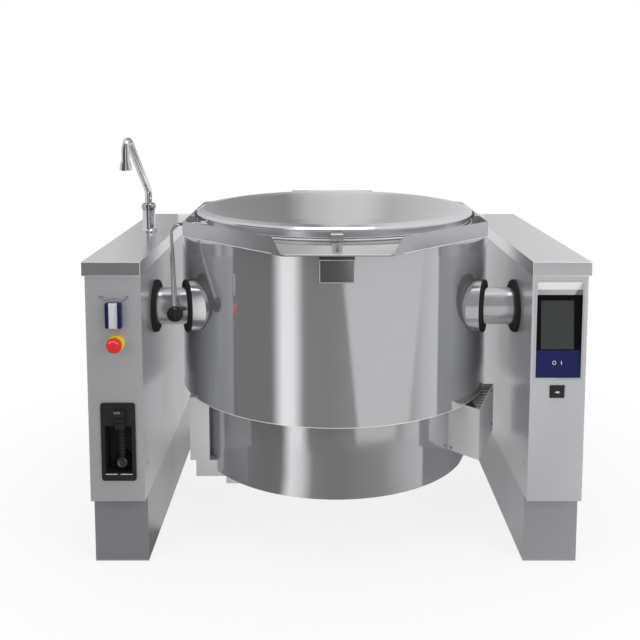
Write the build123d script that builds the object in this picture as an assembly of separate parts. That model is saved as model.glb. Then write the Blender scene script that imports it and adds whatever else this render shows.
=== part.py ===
from build123d import *
import os
from math import cos, pi, radians, sqrt, tan

# Tilting steam jacketed kettle, 200 litre class, between two consoles.
# Millimetres. +X is to the operator's right, +Y runs to the wall, +Z is up.
# The origin lies on the floor, in the middle of the overall width and depth.
# Setbacks count from the worktops' front edge, drops from the worktops' top,
# rises from whatever the comment names, and insets from the consoles' inner walls.

os.makedirs("parts", exist_ok=True)

# ---- fits and sheet thicknesses ---------------------------------------------
running_fit = 0.05              # radial, shaft in its bearing
sliding_fit = 0.2               # push buttons, pins and moulded parts in their holes
free_gap = 0.3                  # between curved faces of different bodies
worktop_sheet = 2.0
panel_sheet = 1.5
plinth_sheet = 2.0
casing_sheet = 2.0
lower_sheet = 2.0
lid_sheet = 2.0
lip_sheet = 2.0
guard_sheet = 2.0
rim_wall = 3.0
rim_base_sheet = 2.0
seat_sheet = 3.0
vessel_wall = 3.0
jacket_wall = 3.0

# ---- consoles -----------------------------------------------------------------
console_clearance = 53.0        # drum casing to the consoles' inner walls
worktop_width = 165.0
worktop_depth = 990.0
worktop_height = 900.0
worktop_fold = 40.0             # turned-down edge
panel_return = 20.0             # folded flange inside the front and rear panels
outer_overhang = 8.0            # worktop past the outer panel
front_overhang = 4.0            # worktop past the front panel
service_recess = 40.0           # rear panel stands in, for pipes and cable
plinth_height = 200.0
plinth_setback = 38.0
plinth_side_step = 1.0
foot_radius = 20.0
foot_stem_radius = 8.0
foot_pad = 12.0
foot_inset = 60.0
wall_hole_gap = 2.0             # radial, trunnion tube in the inner wall

# ---- kettle --------------------------------------------------------------------
kettle_setback = 451.0          # kettle's centre
vessel_radius = 405.0
vessel_depth = 508.0
vessel_knuckle = 90.0           # height of the curve into the dished bottom
jacket_gap = 27.0               # vessel to jacket, radial
jacket_below = 20.0             # jacket's bottom under the vessel's
jacket_drop = 121.0             # jacket's top under the casing's
jacket_slope = 30.0             # fall of the jacket's bottom towards the sump
insulation_gap = 60.0           # jacket to casing, radial
insulation_top_gap = 10.0
casing_height = 500.0
casing_rise = 36.0              # casing's top above the worktops
casing_flange = 47.0            # turned in at the top of the casing
lower_inset = 57.0              # lower casing inside the drum casing, radial
lower_height = 235.0
wrap_edge_offset = 187.0        # front wrap panel ends this far ahead of the centre
cover_edge = 26.0               # turned-up edge of the bottom cover
cover_knuckle = 12.0
rim_inset = 35.0                # rim's side walls inside the casing's widest point
rim_overhang = 62.0             # pouring edge past the casing
rim_corner_half = 146.0         # half the straight front edge
rim_height = 48.0
rim_rear_corner = 256.0         # length of the rear 45 degree sides, along X
rim_deck_start = -116.0         # front of the rear deck, from the kettle's centre
seat_height = 22.0              # vessel seat above the casing's top
lip_width = 48.0                # round seam to pouring edge, at the middle
lip_seam_gap = 2.0
lip_drop = 18.0                 # fall from the seam to the pouring edge
lip_slant = 29.0                # how far the side walls lean back at the lip
catch_half = 14.0               # grooved post on the lip
catch_edge_gap = 11.0           # post behind the pouring edge
catch_seam_gap = 4.0            # post ahead of the seam
catch_groove = 6.0
catch_groove_depth = 10.0
catch_corner = 3.0
plate_half = 49.0               # plain plate under the lip
plate_height = 86.0
plate_border = 3.0
plate_head = 14.0               # top band of the plate above its window
plate_sheet = 1.5
sump_radius = 250.0
sump_rise = 61.0                # sump's bottom above the lower casing's
heater_rod_radius = 6.0
heater_leg_offset = 60.0
heater_rise = 30.0              # lower heater above the sump's bottom
heater_pitch = 42.0
heater_flange = 10.0
heater_flange_border = 30.0
heater_reach = 175.0            # heater's far bend behind the centre
valve_angle = -27.0             # degrees, direction of the safety valve's pipe
valve_reach = 30.0              # valve's axis outside the lower casing
valve_drop = 91.0               # valve pipe under the drum casing
valve_pipe_radius = 10.0
valve_body_radius = 17.0
valve_below, valve_above = 22.0, 44.0
valve_bonnet_radius = 12.0
guard_height = 156.0            # guard over the safety valve
guard_corner_inset = 70.0       # guard's front corner, from the casing's radius
guard_front_inset = 147.0
guard_run = 110.0               # length of the 45 degree front, measured along X
guard_reach = 18.0              # guard's outer end past the casing
guard_rear = 118.0              # guard's outer end ahead of the centre
guard_mouth = 90.0
guard_slats = 8
guard_slat_pitch = 25.0
guard_slat_width, guard_slat_sheet = 8.0, 6.0
guard_slat_drop = 15.0          # slats under the drum casing
duct_front = -245.0             # cable duct's front, from the kettle's centre
duct_depth = 110.0
duct_out, duct_in = 10.0, 50.0  # duct outside and inside the lower casing
duct_rise = 34.0                # duct's foot above the lower casing's
duct_step_inset = 8.0
duct_step_drop = 18.0
box_inset = 101.0               # terminal box inside the lower casing
box_inner = 120.0
box_depth = 210.0
box_drop = 43.0
box_edge = 3.0

# ---- trunnions ----------------------------------------------------------------
trunnion_setback = 214.0
trunnion_drop = 177.0
tube_radius = 56.0
tube_wall = 6.0
tube_end_wall = 10.0
tube_entry = 12.0               # tube past the console's inner wall
tube_root = 20.0                # solid root of the tube past the jacket
boss_radius = 77.0
boss_length = 24.0              # casing to the outer face of the kettle seal
seal_radius = 80.0
seal_thickness = 12.0
seal_lean = 17.0                # degrees, the kettle seal leans towards the casing
journal_radius = 30.0
journal_end_gap = 8.0
journal_edge = 2.0
cable_bore_radius = 15.0
bearing_inset = 25.0            # bearing behind the inner wall
bearing_width = 57.0
bearing_radius = 55.0
bearing_base = 18.0
bearing_foot = 220.0
bearing_foot_corner = 12.0
bearing_drop = 70.0             # axis above the bearing's seat
bearing_bolt_radius = 8.0
bearing_bolt_inset = 26.0       # bolt hole to the end of the bearing's foot
bolt_head_radius = 13.6         # across corners, halved
bolt_head_height = 10.0
bolt_nut_height = 12.8
stand_ledge = 10.0              # stand's head plate past the bearing's foot
stand_flange = 15.0             # head and foot plates past the box column
stand_wall = 6.0
stand_foot_plate = 10.0
stand_head_plate = 12.0
gearbox_gap = 14.0              # bearing to gearbox, spanned by the torque arm
gearbox_radius = 78.0
gearbox_width = 54.0
gearbox_neck_half = 50.0
worm_offset = 80.0
worm_radius = 34.0
worm_front, worm_rear = 85.0, 90.0
torque_arm_half = 20.0
torque_arm_above, torque_arm_below = 15.0, 100.0
motor_radius = 42.0
motor_flange = 8.0
motor_clearance = 27.0          # from the motor to the water valve behind it
motor_front_bell, motor_rear_bell = 14.0, 34.0
motor_inset = 4.0               # motor's axis inside the worm's
motor_fin_depth = 6.0
motor_fin = 3.0
motor_fins = 24

# ---- lid ------------------------------------------------------------------------
lid_overlap = 45.0              # lid past the vessel's wall, radial
lid_edge_rise = 4.0             # lid's widest edge above the rim
lid_dome = 37.0                 # crown above the widest edge
lid_skirt_taper = 8.0
lid_lift = 2.0                  # skirt above the vessel seat
liner_step = 12.0               # raised middle of the liner
gasket_offset = 25.0            # gasket's middle outside the vessel's wall
gasket_width = 12.0
gasket_step = 5.0               # depth of the gasket's step in the liner
deck_collar_gap = 7.0           # lid to the deck's collar, radial
hinge_offset = 24.0             # hinge axis behind the lid's edge
hinge_rise = 2.0                # hinge axis above the rim
hinge_barrel_radius = 14.0
hinge_pin_radius = 6.0
hinge_barrel_half = 120.0
hinge_cheek_width = 35.0
hinge_slot = 4.0                # free space round the barrel in the deck
hinge_web_inset = 10.0
hinge_web_grip = 40.0
hinge_web_above, hinge_web_below = 4.0, 8.0
handle_setback = 249.0
handle_rise = 12.0              # rod above the vessel seat
handle_rod_radius = 5.5
handle_grip_radius = 8.5
handle_stand_off = 43.0         # rod's corner outside the rim
handle_bend = 25.0
handle_boss_radius = 9.5
handle_boss_inset = 38.0        # end of the boss inside the lid's edge
handle_notch = 14.0             # half width of the slot in the rim wall
ball_radius = 24.0
ball_stub_radius = 4.0
ball_flat = 2.0                 # depth of the ball's seat for the grip's end
ball_inset = 32.0               # ball's centre inside the rod's corner
ball_setback = 109.0
ball_drop = 246.0               # ball's centre under the rod
lug_half = 17.0
lug_rise = 6.0                  # lug above the skirt's edge
lug_edge_drop = 2.0
lug_seam_gap = 11.0             # lug's end behind the seam
lug_corner = 3.0

# ---- water tap ---------------------------------------------------------------------
tap_inset = 83.0
tap_setback = 553.0
tap_collar_radius = 21.0
tap_collar_height = 84.0
tap_socket_depth = 24.0
tap_pipe_radius = 12.0
tap_pipe_wall = 2.0
tap_reach = 333.0
tap_crest = 353.0               # top of the arm above the worktop
tap_outlet_height = 238.0       # outlet above the worktop
tap_elbow_height = 140.0
tap_bend = 35.0
tap_nozzle_radius = 17.0
tap_nozzle_length = 34.0
tap_nozzle_barrel = 20.0
aerator_wall, aerator_depth = 4.0, 4.0
tap_shank_radius = 10.5
tap_shank_length = 65.0
tap_flange_radius = 28.0
tap_flange_height = 5.0
tap_bore_radius = 7.0
tap_nut_radius, tap_nut_height = 19.0, 9.0
valve_half_width, valve_half_depth, water_valve_height = 18.0, 24.0, 45.0
coil_radius, coil_length = 17.0, 38.0
valve_edge = 3.4
water_pipe_radius = 7.5
water_pipe_wall = 1.5
water_pipe_bend = 40.0
service_rise = 100.0            # water and cable entry above the plinth
service_hole_radius = 14.0
service_stub_gap = 8.0          # end of the water stub inside the worktop's edge
service_collar_width, service_collar_length = 6.0, 8.0
service_inner_reach = 20.0
gland_bore = 8.0
gland_dome_radius = 15.0
gland_nut_radius = 19.0
gland_nut_length, gland_lock_length = 8.0, 6.0
gland_neck = 10.0
gland_end_gap = 10.0

# ---- controls -----------------------------------------------------------------------
knob_inset, knob_drop = 76.0, 151.0
knob_width, knob_length, knob_depth = 47.0, 75.0, 18.0
knob_corner = 6.0
grip_width, grip_depth = 24.0, 14.0
grip_end_gap = 4.0
grip_corner, grip_edge = 5.0, 2.0
spindle_radius = 5.0
spindle_length = 30.0
stop_inset, stop_pitch = 72.0, 81.0     # stop button under the knob
stop_radius = 22.0
stop_head_base, stop_head_top = 24.0, 41.0
stop_collar_radius = 23.0
stop_collar_height = 12.0
stop_collar_edge = 3.0
stop_stem_radius = 8.0
stop_stem_length = 30.0
stop_travel = 4.0
control_hole_radius = 11.0
switch_half, switch_depth, switch_bore_depth = 19.0, 48.0, 40.0
bay_inset, bay_rise = 72.5, 178.0       # bay's centre above the plinth
bay_width, bay_length, bay_depth = 99.0, 230.0, 55.0
bay_flange, bay_flange_border, bay_corner = 4.0, 8.0, 8.0
bay_back = 5.0
pocket_half, pocket_corner = 38.5, 5.0
pocket_below, pocket_above = 94.5, 47.5 # pocket under and above the bay's centre
probe_inset, probe_rise = 65.0, 31.0    # plug above the pocket's floor
probe_plug_radius = 14.5
probe_stalk_radius = 10.0
probe_stalk_top_gap = 8.0
probe_pin_radius, probe_pin_length = 6.0, 12.0
probe_nose_setback = 2.0
probe_ribs = 7
probe_rib_depth = 2.5
probe_rib_start = 26.0
clip_half, clip_depth = 13.0, 9.0
clip_overlap, clip_top_gap = 6.0, 20.0
clip_groove, clip_groove_depth = 4.0, 3.0
clip_groove_levels = (16.0, 30.0)
socket_wall, socket_depth = 3.0, 14.0
screen_inset, screen_half = 78.0, 66.5
screen_drop = 55.0              # top of the bezel's pocket
screen_shelf = 44.0             # bright shelf above the glass
screen_length = 237.0
screen_lean = 20.0              # how far the top of the glass stands back
screen_glass = 4.0
screen_setback = 1.0
screen_tub = 40.0
bezel_border, bezel_flange = 2.5, 1.5
module_half, module_depth = 55.0, 35.0
module_low_gap, module_high_gap, module_edge = 30.0, 10.0, 4.0
usb_inset, usb_gap = 77.0, 39.0         # socket under the screen
usb_width, usb_length = 37.0, 32.0
usb_border = 2.4
usb_flange = 2.0
usb_tub_border, usb_tub_depth = 6.0, 22.0
usb_slot_half, usb_slot_rise, usb_slot_depth = 6.5, 3.0, 15.0
usb_ear = 2.0
usb_cover_gap = 0.3
usb_cover_sheet = 3.0
usb_pin_radius = 1.0
box_width, box_height, box_length = 95.0, 390.0, 270.0
box_rise, box_setback, box_corner = 190.0, 511.0, 6.0

# ---- places that follow from the sizes above ---------------------------------------
jacket_radius = vessel_radius + jacket_gap + jacket_wall
casing_radius = jacket_radius + insulation_gap + casing_sheet
lower_radius = casing_radius - lower_inset
lid_radius = vessel_radius + lid_overlap
gasket_radius = vessel_radius + gasket_offset
deck_collar_radius = lid_radius + deck_collar_gap
rim_half_width = casing_radius - rim_inset
rim_reach = casing_radius + rim_overhang
lip_seam_radius = rim_reach - lip_width

overall_depth = rim_reach - kettle_setback + worktop_depth
front = rim_reach - kettle_setback - overall_depth / 2      # worktop's front edge
back = front + worktop_depth
panel_front = front + front_overhang
panel_back = back - service_recess
kettle_y = front + kettle_setback
axis_y = front + trunnion_setback
tap_y = front + tap_setback
hinge_y = kettle_y + lid_radius + hinge_offset

inner_wall = casing_radius + console_clearance
outer_wall = inner_wall + worktop_width - outer_overhang
service_x = (inner_wall + outer_wall) / 2
tap_x = inner_wall + tap_inset
knob_x = inner_wall + knob_inset
stop_x = inner_wall + stop_inset
bay_x = inner_wall + bay_inset
probe_x = inner_wall + probe_inset
screen_x = inner_wall + screen_inset
usb_x = inner_wall + usb_inset
bearing_x = inner_wall + bearing_inset + bearing_width / 2
gearbox_x0 = bearing_x + bearing_width / 2 + gearbox_gap
tube_end = inner_wall + tube_entry

body_top = worktop_height - worktop_sheet
casing_top = worktop_height + casing_rise
casing_bottom = casing_top - casing_height
lower_bottom = casing_bottom - lower_height
seat_top = casing_top + seat_height
rim_top = casing_top + rim_height
lid_bottom = seat_top + lid_lift
lid_edge_height = rim_top + lid_edge_rise
lid_crown = lid_edge_height + lid_dome
hinge_height = rim_top + hinge_rise
handle_height = seat_top + handle_rise
vessel_low = seat_top - vessel_depth
jacket_top = casing_top - jacket_drop
jacket_bottom = vessel_low - jacket_below
sump_bottom = lower_bottom + sump_rise
heater_levels = (sump_bottom + heater_rise, sump_bottom + heater_rise + heater_pitch)
valve_height = casing_bottom - valve_drop
trunnion_height = worktop_height - trunnion_drop
stand_top = trunnion_height - bearing_drop
valve_top = worktop_height - tap_shank_length
service_height = plinth_height + service_rise
knob_height = worktop_height - knob_drop
stop_height = knob_height - stop_pitch
bay_height = plinth_height + bay_rise
pocket_low, pocket_high = bay_height - pocket_below, bay_height + pocket_above
probe_height = pocket_low + probe_rise
screen_pocket_top = worktop_height - screen_drop
screen_high = screen_pocket_top - screen_shelf
screen_low = screen_high - screen_length
usb_height = screen_low - usb_gap
usb_hinge_y = panel_front - usb_flange - usb_cover_gap - usb_cover_sheet / 2
usb_hinge_z = usb_height + usb_length / 2 + 1.0
seal_reach = sqrt(casing_radius ** 2 - (kettle_y - axis_y) ** 2) + boss_length

beyond = 1000.0                 # cutters that run out of the model
cut_past = 5.0                  # cutters that run past the face they cut


def save(name, shape):
    """Write one sub-part to its own file."""
    export_step(shape, f"parts/{name}.step")


def block(x, y, z):
    """A box from three (low, high) pairs."""
    size = [b - a for a, b in (x, y, z)]
    middle = [(a + b) / 2 for a, b in (x, y, z)]
    return Pos(*middle) * Box(*size)


def span(middle, half):
    """A (low, high) pair about a middle."""
    return (middle - half, middle + half)


def rod_x(radius, x0, x1, y, z):
    """A round bar along X."""
    return Pos((x0 + x1) / 2, y, z) * Rot(0, 90, 0) * Cylinder(radius, x1 - x0)


def rod_y(radius, y0, y1, x, z):
    """A round bar along Y."""
    return Pos(x, (y0 + y1) / 2, z) * Rot(90, 0, 0) * Cylinder(radius, y1 - y0)


def rod_z(radius, z0, z1, x, y):
    """A round bar along Z."""
    return Pos(x, y, (z0 + z1) / 2) * Cylinder(radius, z1 - z0)


def drum(radius, z0, z1):
    """A disc or cylinder about the kettle's centre."""
    return rod_z(radius, z0, z1, 0, kettle_y)


def turned(points, x=0.0, y=0.0):
    """Revolve a closed (radius, height) profile about the vertical at x, y."""
    profile = make_face(Polyline(*[(r, 0, z) for r, z in points], close=True))
    return Pos(x, y, 0) * revolve(profile, Axis.Z)


def other_side(shape):
    """The same piece on the left of the machine."""
    return mirror(shape, about=Plane.YZ)


# ---- console sheet metal ----------------------------------------------------
def worktop():
    """Folded tray: flat top with four turned-down edges."""
    s = worktop_sheet
    x = (inner_wall, inner_wall + worktop_width)
    z = (worktop_height - worktop_fold, worktop_height)
    tray = block(x, (front, back), z)
    tray = fillet(tray.edges().filter_by(Axis.Z), s)
    tray = fillet(tray.edges().group_by(Axis.Z)[-1], s / 2)
    return tray - block((x[0] + s, x[1] - s), (front + s, back - s), (z[0], z[1] - s))


def plinth():
    """Skirt on the floor with a closed top that carries the console."""
    x = (inner_wall, outer_wall - plinth_side_step)
    y = (front + plinth_setback, panel_back)
    s = plinth_sheet
    skirt = block(x, y, (0, plinth_height))
    return skirt - block((x[0] + s, x[1] - s), (y[0] + s, y[1] - s), (0, plinth_height - s))


def feet():
    """Four levelling feet inside one plinth."""
    top = plinth_height - plinth_sheet
    return [
        rod_z(foot_radius, 0, foot_pad, x, y) + rod_z(foot_stem_radius, foot_pad, top, x, y)
        for x in (inner_wall + foot_inset / 2, outer_wall - foot_inset / 2)
        for y in (front + plinth_setback + foot_inset, panel_back - foot_inset)
    ]


def panel_flange(x0, y, inward):
    """Folded flange behind a closing plate, against a side panel."""
    deep = sorted((y + inward * panel_sheet, y + inward * panel_return))
    return block((x0, x0 + panel_sheet), deep, (plinth_height, body_top))


def closing_plate(y, inward):
    """Front or rear plate with its flange inside the inner panel."""
    deep = sorted((y, y + inward * panel_sheet))
    plate = block((inner_wall, outer_wall), deep, (plinth_height, body_top))
    return plate + panel_flange(inner_wall + panel_sheet, y, inward)


def side_panel(x0):
    """Flat side between the front and rear panels."""
    y = (panel_front + panel_sheet, panel_back - panel_sheet)
    return block((x0, x0 + panel_sheet), y, (plinth_height, body_top))


def under_worktop(panel):
    """Trim a panel's edges so that the worktop's turned-down fold hangs over it."""
    s = worktop_sheet
    x = (inner_wall, inner_wall + worktop_width)
    z = (worktop_height - worktop_fold, worktop_height)
    fold = block(x, (front, back), z)
    fold -= block((x[0] + s, x[1] - s), (front + s, back - s), z)
    return panel - fold


def inner_panel():
    """Side towards the kettle, with the hole for the trunnion's tube."""
    hole = rod_x(tube_radius + wall_hole_gap, *span(inner_wall, cut_past), axis_y, trunnion_height)
    return under_worktop(side_panel(inner_wall)) - hole


def outer_panel():
    """Outer side and rear wall folded from one sheet, with a pipe or cable entry."""
    sheet = side_panel(outer_wall - panel_sheet) + closing_plate(panel_back, -1)
    hole = rod_y(service_hole_radius, *span(panel_back, cut_past), service_x, service_height)
    return under_worktop(sheet) - hole


def front_panel():
    """Front plate with a flange inside each side panel."""
    flange = panel_flange(outer_wall - 2 * panel_sheet, panel_front, 1)
    return under_worktop(closing_plate(panel_front, 1) + flange)


def left_front_panel():
    """Control panel: holes for the knob and the stop button, opening for the probe's bay."""
    panel = other_side(front_panel())
    y = span(panel_front, cut_past)
    for x, z in ((-knob_x, knob_height), (-stop_x, stop_height)):
        panel -= rod_y(control_hole_radius, *y, x, z)
    x = span(-bay_x, bay_width / 2 - bay_flange_border)
    return panel - block(x, y, span(bay_height, bay_length / 2 - bay_flange_border))


def right_front_panel():
    """Control panel: openings for the touch screen and the data socket."""
    y = span(panel_front, cut_past)
    screen = block(span(screen_x, screen_half), y, (screen_low, screen_pocket_top))
    x = span(usb_x, usb_width / 2 - usb_tub_border)
    usb = block(x, y, span(usb_height, usb_length / 2 - usb_tub_border))
    return front_panel() - screen - usb


# ---- bearings and tilt drive -------------------------------------------------
bearing_span = span(bearing_x, bearing_width / 2)
bolt_places = span(axis_y, bearing_foot / 2 - bearing_bolt_inset)


def bolt_holes(z0, z1):
    """Clearance holes for the bearing's two bolts."""
    radius = bearing_bolt_radius + sliding_fit
    return [rod_z(radius, z0, z1, bearing_x, y) for y in bolt_places]


def bearing_stand():
    """Welded box column from the plinth to the bearing, flanged at both ends."""
    x, w = bearing_span, stand_wall
    y = span(axis_y, bearing_foot / 2 + stand_ledge)
    body = span(axis_y, bearing_foot / 2 + stand_ledge - stand_flange)
    z = (plinth_height, stand_top)
    column = block(x, body, z) - block((x[0] + w, x[1] - w), (body[0] + w, body[1] - w), z)
    foot = block(x, y, (plinth_height, plinth_height + stand_foot_plate))
    head = block(x, y, (stand_top - stand_head_plate, stand_top))
    return column + foot + head - bolt_holes(stand_top - stand_head_plate, stand_top)


def bearing():
    """Pillow block with a cast body, a broad foot and two bolt holes."""
    x, z = bearing_span, trunnion_height
    foot_top = stand_top + bearing_base
    base = block(x, span(axis_y, bearing_foot / 2), (stand_top, foot_top))
    base = fillet(base.edges().filter_by(Axis.Z), bearing_foot_corner)
    body = rod_x(bearing_radius, *x, axis_y, z)
    web = block(x, span(axis_y, bearing_radius), (stand_top, z))
    bore = rod_x(journal_radius + running_fit, *x, axis_y, z)
    return base + body + web - bore - bolt_holes(stand_top, foot_top)


def bearing_bolt(y):
    """Hexagon bolt through the bearing's foot and the stand's head plate."""
    top = stand_top + bearing_base
    low = stand_top - stand_head_plate
    hexagon = RegularPolygon(bolt_head_radius, 6)
    cap = extrude(Pos(bearing_x, y, top) * hexagon, bolt_head_height)
    nut = extrude(Pos(bearing_x, y, low) * hexagon, -bolt_nut_height)
    return cap + rod_z(bearing_bolt_radius, low, top, bearing_x, y) + nut


def trunnion(end):
    """Hollow trunnion: saddle on the jacket, leaning boss, polished tube and journal."""
    z = trunnion_height
    lean = Pos(seal_inner_face, axis_y, z) * Rot(0, 0, -seal_lean)
    boss = rod_x(boss_radius, 0, seal_reach + boss_radius, axis_y, z)
    boss -= lean * Pos(beyond / 2, 0, 0) * Box(beyond, beyond, beyond)
    tube = rod_x(tube_radius, 0, tube_end, axis_y, z)
    hollow_end = tube_end - tube_end_wall
    hollow = rod_x(tube_radius - tube_wall, jacket_radius + tube_root, hollow_end, axis_y, z)
    journal = rod_x(journal_radius, hollow_end, end, axis_y, z)
    bore = rod_x(cable_bore_radius, 0, end + cut_past, axis_y, z)
    shape = boss + tube - hollow + journal - bore - drum(jacket_radius, lower_bottom, casing_top)
    shoulder = shape.edges().filter_by(GeomType.CIRCLE).group_by(Axis.X)[-1]
    return chamfer(shoulder, journal_edge)


seal_across = seal_thickness / cos(radians(seal_lean))
seal_inner_face = seal_reach - seal_across


def kettle_seal():
    """Rubber ring between the trunnion tube and the kettle, leaning with the casing."""
    reach = (0, seal_reach + seal_radius)
    ring = rod_x(seal_radius, *reach, axis_y, trunnion_height)
    ring -= rod_x(tube_radius, *reach, axis_y, trunnion_height)
    lean = Pos(seal_reach - seal_across / 2, axis_y, trunnion_height) * Rot(0, 0, -seal_lean)
    shape = ring & (lean * Box(seal_thickness, beyond, beyond))
    rims = [e for e in shape.edges() if e.length > pi * (seal_radius + tube_radius)]
    return fillet(rims, seal_thickness / 3)


def console_seal():
    """Rubber ring on the console's wall, round the trunnion's tube."""
    x = (inner_wall - seal_thickness, inner_wall)
    ring = rod_x(seal_radius, *x, axis_y, trunnion_height)
    rim = ring.edges().filter_by(GeomType.CIRCLE).sort_by(Axis.X)[0]
    ring = fillet(rim, seal_thickness / 2)
    return ring - rod_x(tube_radius + free_gap, *x, axis_y, trunnion_height)


gearbox_span = (gearbox_x0, gearbox_x0 + gearbox_width)
worm_x = gearbox_span[1] - worm_radius
worm_z = trunnion_height + worm_offset
motor_x = worm_x - motor_inset
motor_y = axis_y + worm_rear + motor_flange
motor_end = tap_y - valve_half_depth - motor_clearance


def gearbox():
    """Shaft-mounted worm gear unit: wheel drum, worm drum above and its motor flange."""
    x, z = gearbox_span, trunnion_height
    wheel = rod_x(gearbox_radius, *x, axis_y, z)
    neck = block(x, span(axis_y, gearbox_neck_half), (z, worm_z))
    worm = rod_y(worm_radius, axis_y - worm_front, axis_y + worm_rear, worm_x, worm_z)
    flange = rod_y(motor_radius, axis_y + worm_rear, motor_y, motor_x, worm_z)
    bore = rod_x(journal_radius + running_fit, *x, axis_y, z)
    arm = block(
        (gearbox_x0 - gearbox_gap, gearbox_x0), span(axis_y, torque_arm_half),
        (stand_top - torque_arm_below, stand_top + torque_arm_above))
    return wheel + neck + worm + flange - bore + arm


def tilt_motor():
    """Finned motor on the worm's end, between two plain end bells."""
    x, z = motor_x, worm_z
    fins_from, fins_to = motor_y + motor_front_bell, motor_end - motor_rear_bell
    body = rod_y(motor_radius - motor_fin_depth, motor_y, motor_end, x, z)
    ends = rod_y(motor_radius, motor_y, fins_from, x, z) + rod_y(motor_radius, fins_to, motor_end, x, z)
    fin = Box(motor_fin, fins_to - fins_from, 2 * motor_radius - motor_fin)
    pairs = motor_fins // 2
    middle = Pos(x, (fins_from + fins_to) / 2, z)
    return body + ends + [middle * Rot(0, 180 * n / pairs, 0) * fin for n in range(pairs)]


# ---- kettle -----------------------------------------------------------------
def vessel():
    """Cooking vessel: straight wall, dished bottom and a flat seat flange."""
    r, w, low = vessel_radius, vessel_wall, vessel_low
    top = seat_top - seat_sheet
    dish, knee = low + vessel_knuckle * 0.12, low + vessel_knuckle * 0.55
    flange = gasket_radius + gasket_width
    wall = [
        (0, low), (r * 0.45, dish), (r * 0.92, knee), (r, low + vessel_knuckle),
        (r, top), (flange, top), (flange, top - w), (r + w, top - w),
        (r + w, low + vessel_knuckle), (r * 0.92 + w / 2, knee - w),
        (r * 0.45, dish - w), (0, low - w),
    ]
    return turned(wall, 0, kettle_y)


def jacket():
    """Steam jacket round the vessel, stepping down to the water sump."""
    r, w, v = jacket_radius, jacket_wall, vessel_radius + vessel_wall
    s = sump_radius
    step = jacket_bottom - jacket_slope
    wall = [
        (v, jacket_top), (r, jacket_top), (r, jacket_bottom), (s, step), (s, sump_bottom),
        (0, sump_bottom), (0, sump_bottom + w), (s - w, sump_bottom + w), (s - w, step + w),
        (r - w, jacket_bottom + w), (r - w, jacket_top - w), (v, jacket_top - w),
    ]
    legs = [
        rod_y(heater_rod_radius, kettle_y - s - heater_flange, kettle_y, x, z)
        for x in (-heater_leg_offset, heater_leg_offset)
        for z in heater_levels
    ]
    return turned(wall, 0, kettle_y) - legs - safety_pipe()


def heaters():
    """Hairpin heating elements in the sump, all on one flange plate."""
    a, border = heater_leg_offset, heater_flange_border
    near = kettle_y - sump_radius - heater_flange
    far = kettle_y + heater_reach
    z = (heater_levels[0] - border / 2, heater_levels[-1] + border / 2)
    plate = block((-a - border, a + border), (near, near + 2 * heater_flange), z)
    plate -= drum(sump_radius, *z)
    for level in heater_levels:
        corners = [(-a, near), (-a, far), (a, far), (a, near)]
        path = FilletPolyline(*[(x, y, level) for x, y in corners], radius=a * 0.9)
        section = Plane(origin=(-a, near, level), z_dir=(0, 1, 0)) * Circle(heater_rod_radius)
        plate += sweep(section, path)
    return plate


def insulation():
    """Glass-wool blanket between jacket and casing, with gaps for the trunnions."""
    outer = casing_radius - casing_sheet
    z = (casing_bottom + casing_sheet, casing_top - casing_sheet - insulation_top_gap)
    ring = drum(outer, *z) - drum(jacket_radius, *z)
    return ring - rod_x(boss_radius, -outer, outer, axis_y, trunnion_height)


def drum_casing():
    """Polished outer drum with turned-in flanges and the two trunnion holes."""
    r, s = casing_radius, casing_sheet
    inner, neck = lower_radius - 2 * lower_sheet, r - casing_flange
    wall = [
        (inner, casing_bottom), (r, casing_bottom), (r, casing_top), (neck, casing_top),
        (neck, casing_top - s), (r - s, casing_top - s), (r - s, casing_bottom + s),
        (inner, casing_bottom + s),
    ]
    reach = span(0, r + cut_past)
    return turned(wall, 0, kettle_y) - rod_x(boss_radius, *reach, axis_y, trunnion_height)


def lower_casing():
    """Narrower drum round the sump: a rear shell with a lapped front wrap panel."""
    r, s = lower_radius, lower_sheet
    z = (lower_bottom, casing_bottom)
    ring = drum(r - s, *z) - drum(r - 2 * s, *z)
    behind = block(span(0, beyond), (kettle_y - wrap_edge_offset, beyond), z)
    wrap = drum(r, *z) - drum(r - s, *z) - behind
    return ring + wrap - safety_pipe()


def bottom_cover():
    """Dished cover under the sump with a turned-up edge inside the casing."""
    r = lower_radius - 2 * lower_sheet
    s, k, z = lower_sheet, cover_knuckle, lower_bottom
    cover = [
        (0, z), (r - k, z), (r, z + k / 3), (r, z + cover_edge), (r - s, z + cover_edge),
        (r - s, z + k / 3 + s / 2), (r - k - s / 2, z + s), (0, z + s),
    ]
    return turned(cover, 0, kettle_y)


def rim_outline(inset=0.0):
    """Octagonal plan of the rim, straight at the pouring edge and at the hinge."""
    w, c = rim_half_width, rim_corner_half
    shoulder, rear = rim_reach - (w - c), casing_radius
    right = [(c, -rim_reach), (w, -shoulder), (w, rear - rim_rear_corner), (w - rim_rear_corner, rear)]
    left = [(-x, y) for x, y in reversed(right)]
    outline = make_face(Polyline(*right, *left, close=True))
    if inset:
        outline = offset(outline, -inset, kind=Kind.INTERSECTION)
    return Pos(0, kettle_y, 0) * outline


def prism(face, z0, z1):
    """Extrude a plan outline between two heights."""
    return extrude(Pos(0, 0, z0) * face, z1 - z0)


def rim_walls(z0, z1):
    return prism(rim_outline(), z0, z1) - prism(rim_outline(rim_wall), z0, z1)


def deck_zone():
    """Everything behind the line where the rear deck starts."""
    start = kettle_y + rim_deck_start
    return block(span(0, beyond), (start, beyond), (casing_top, rim_top + cut_past))


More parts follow.
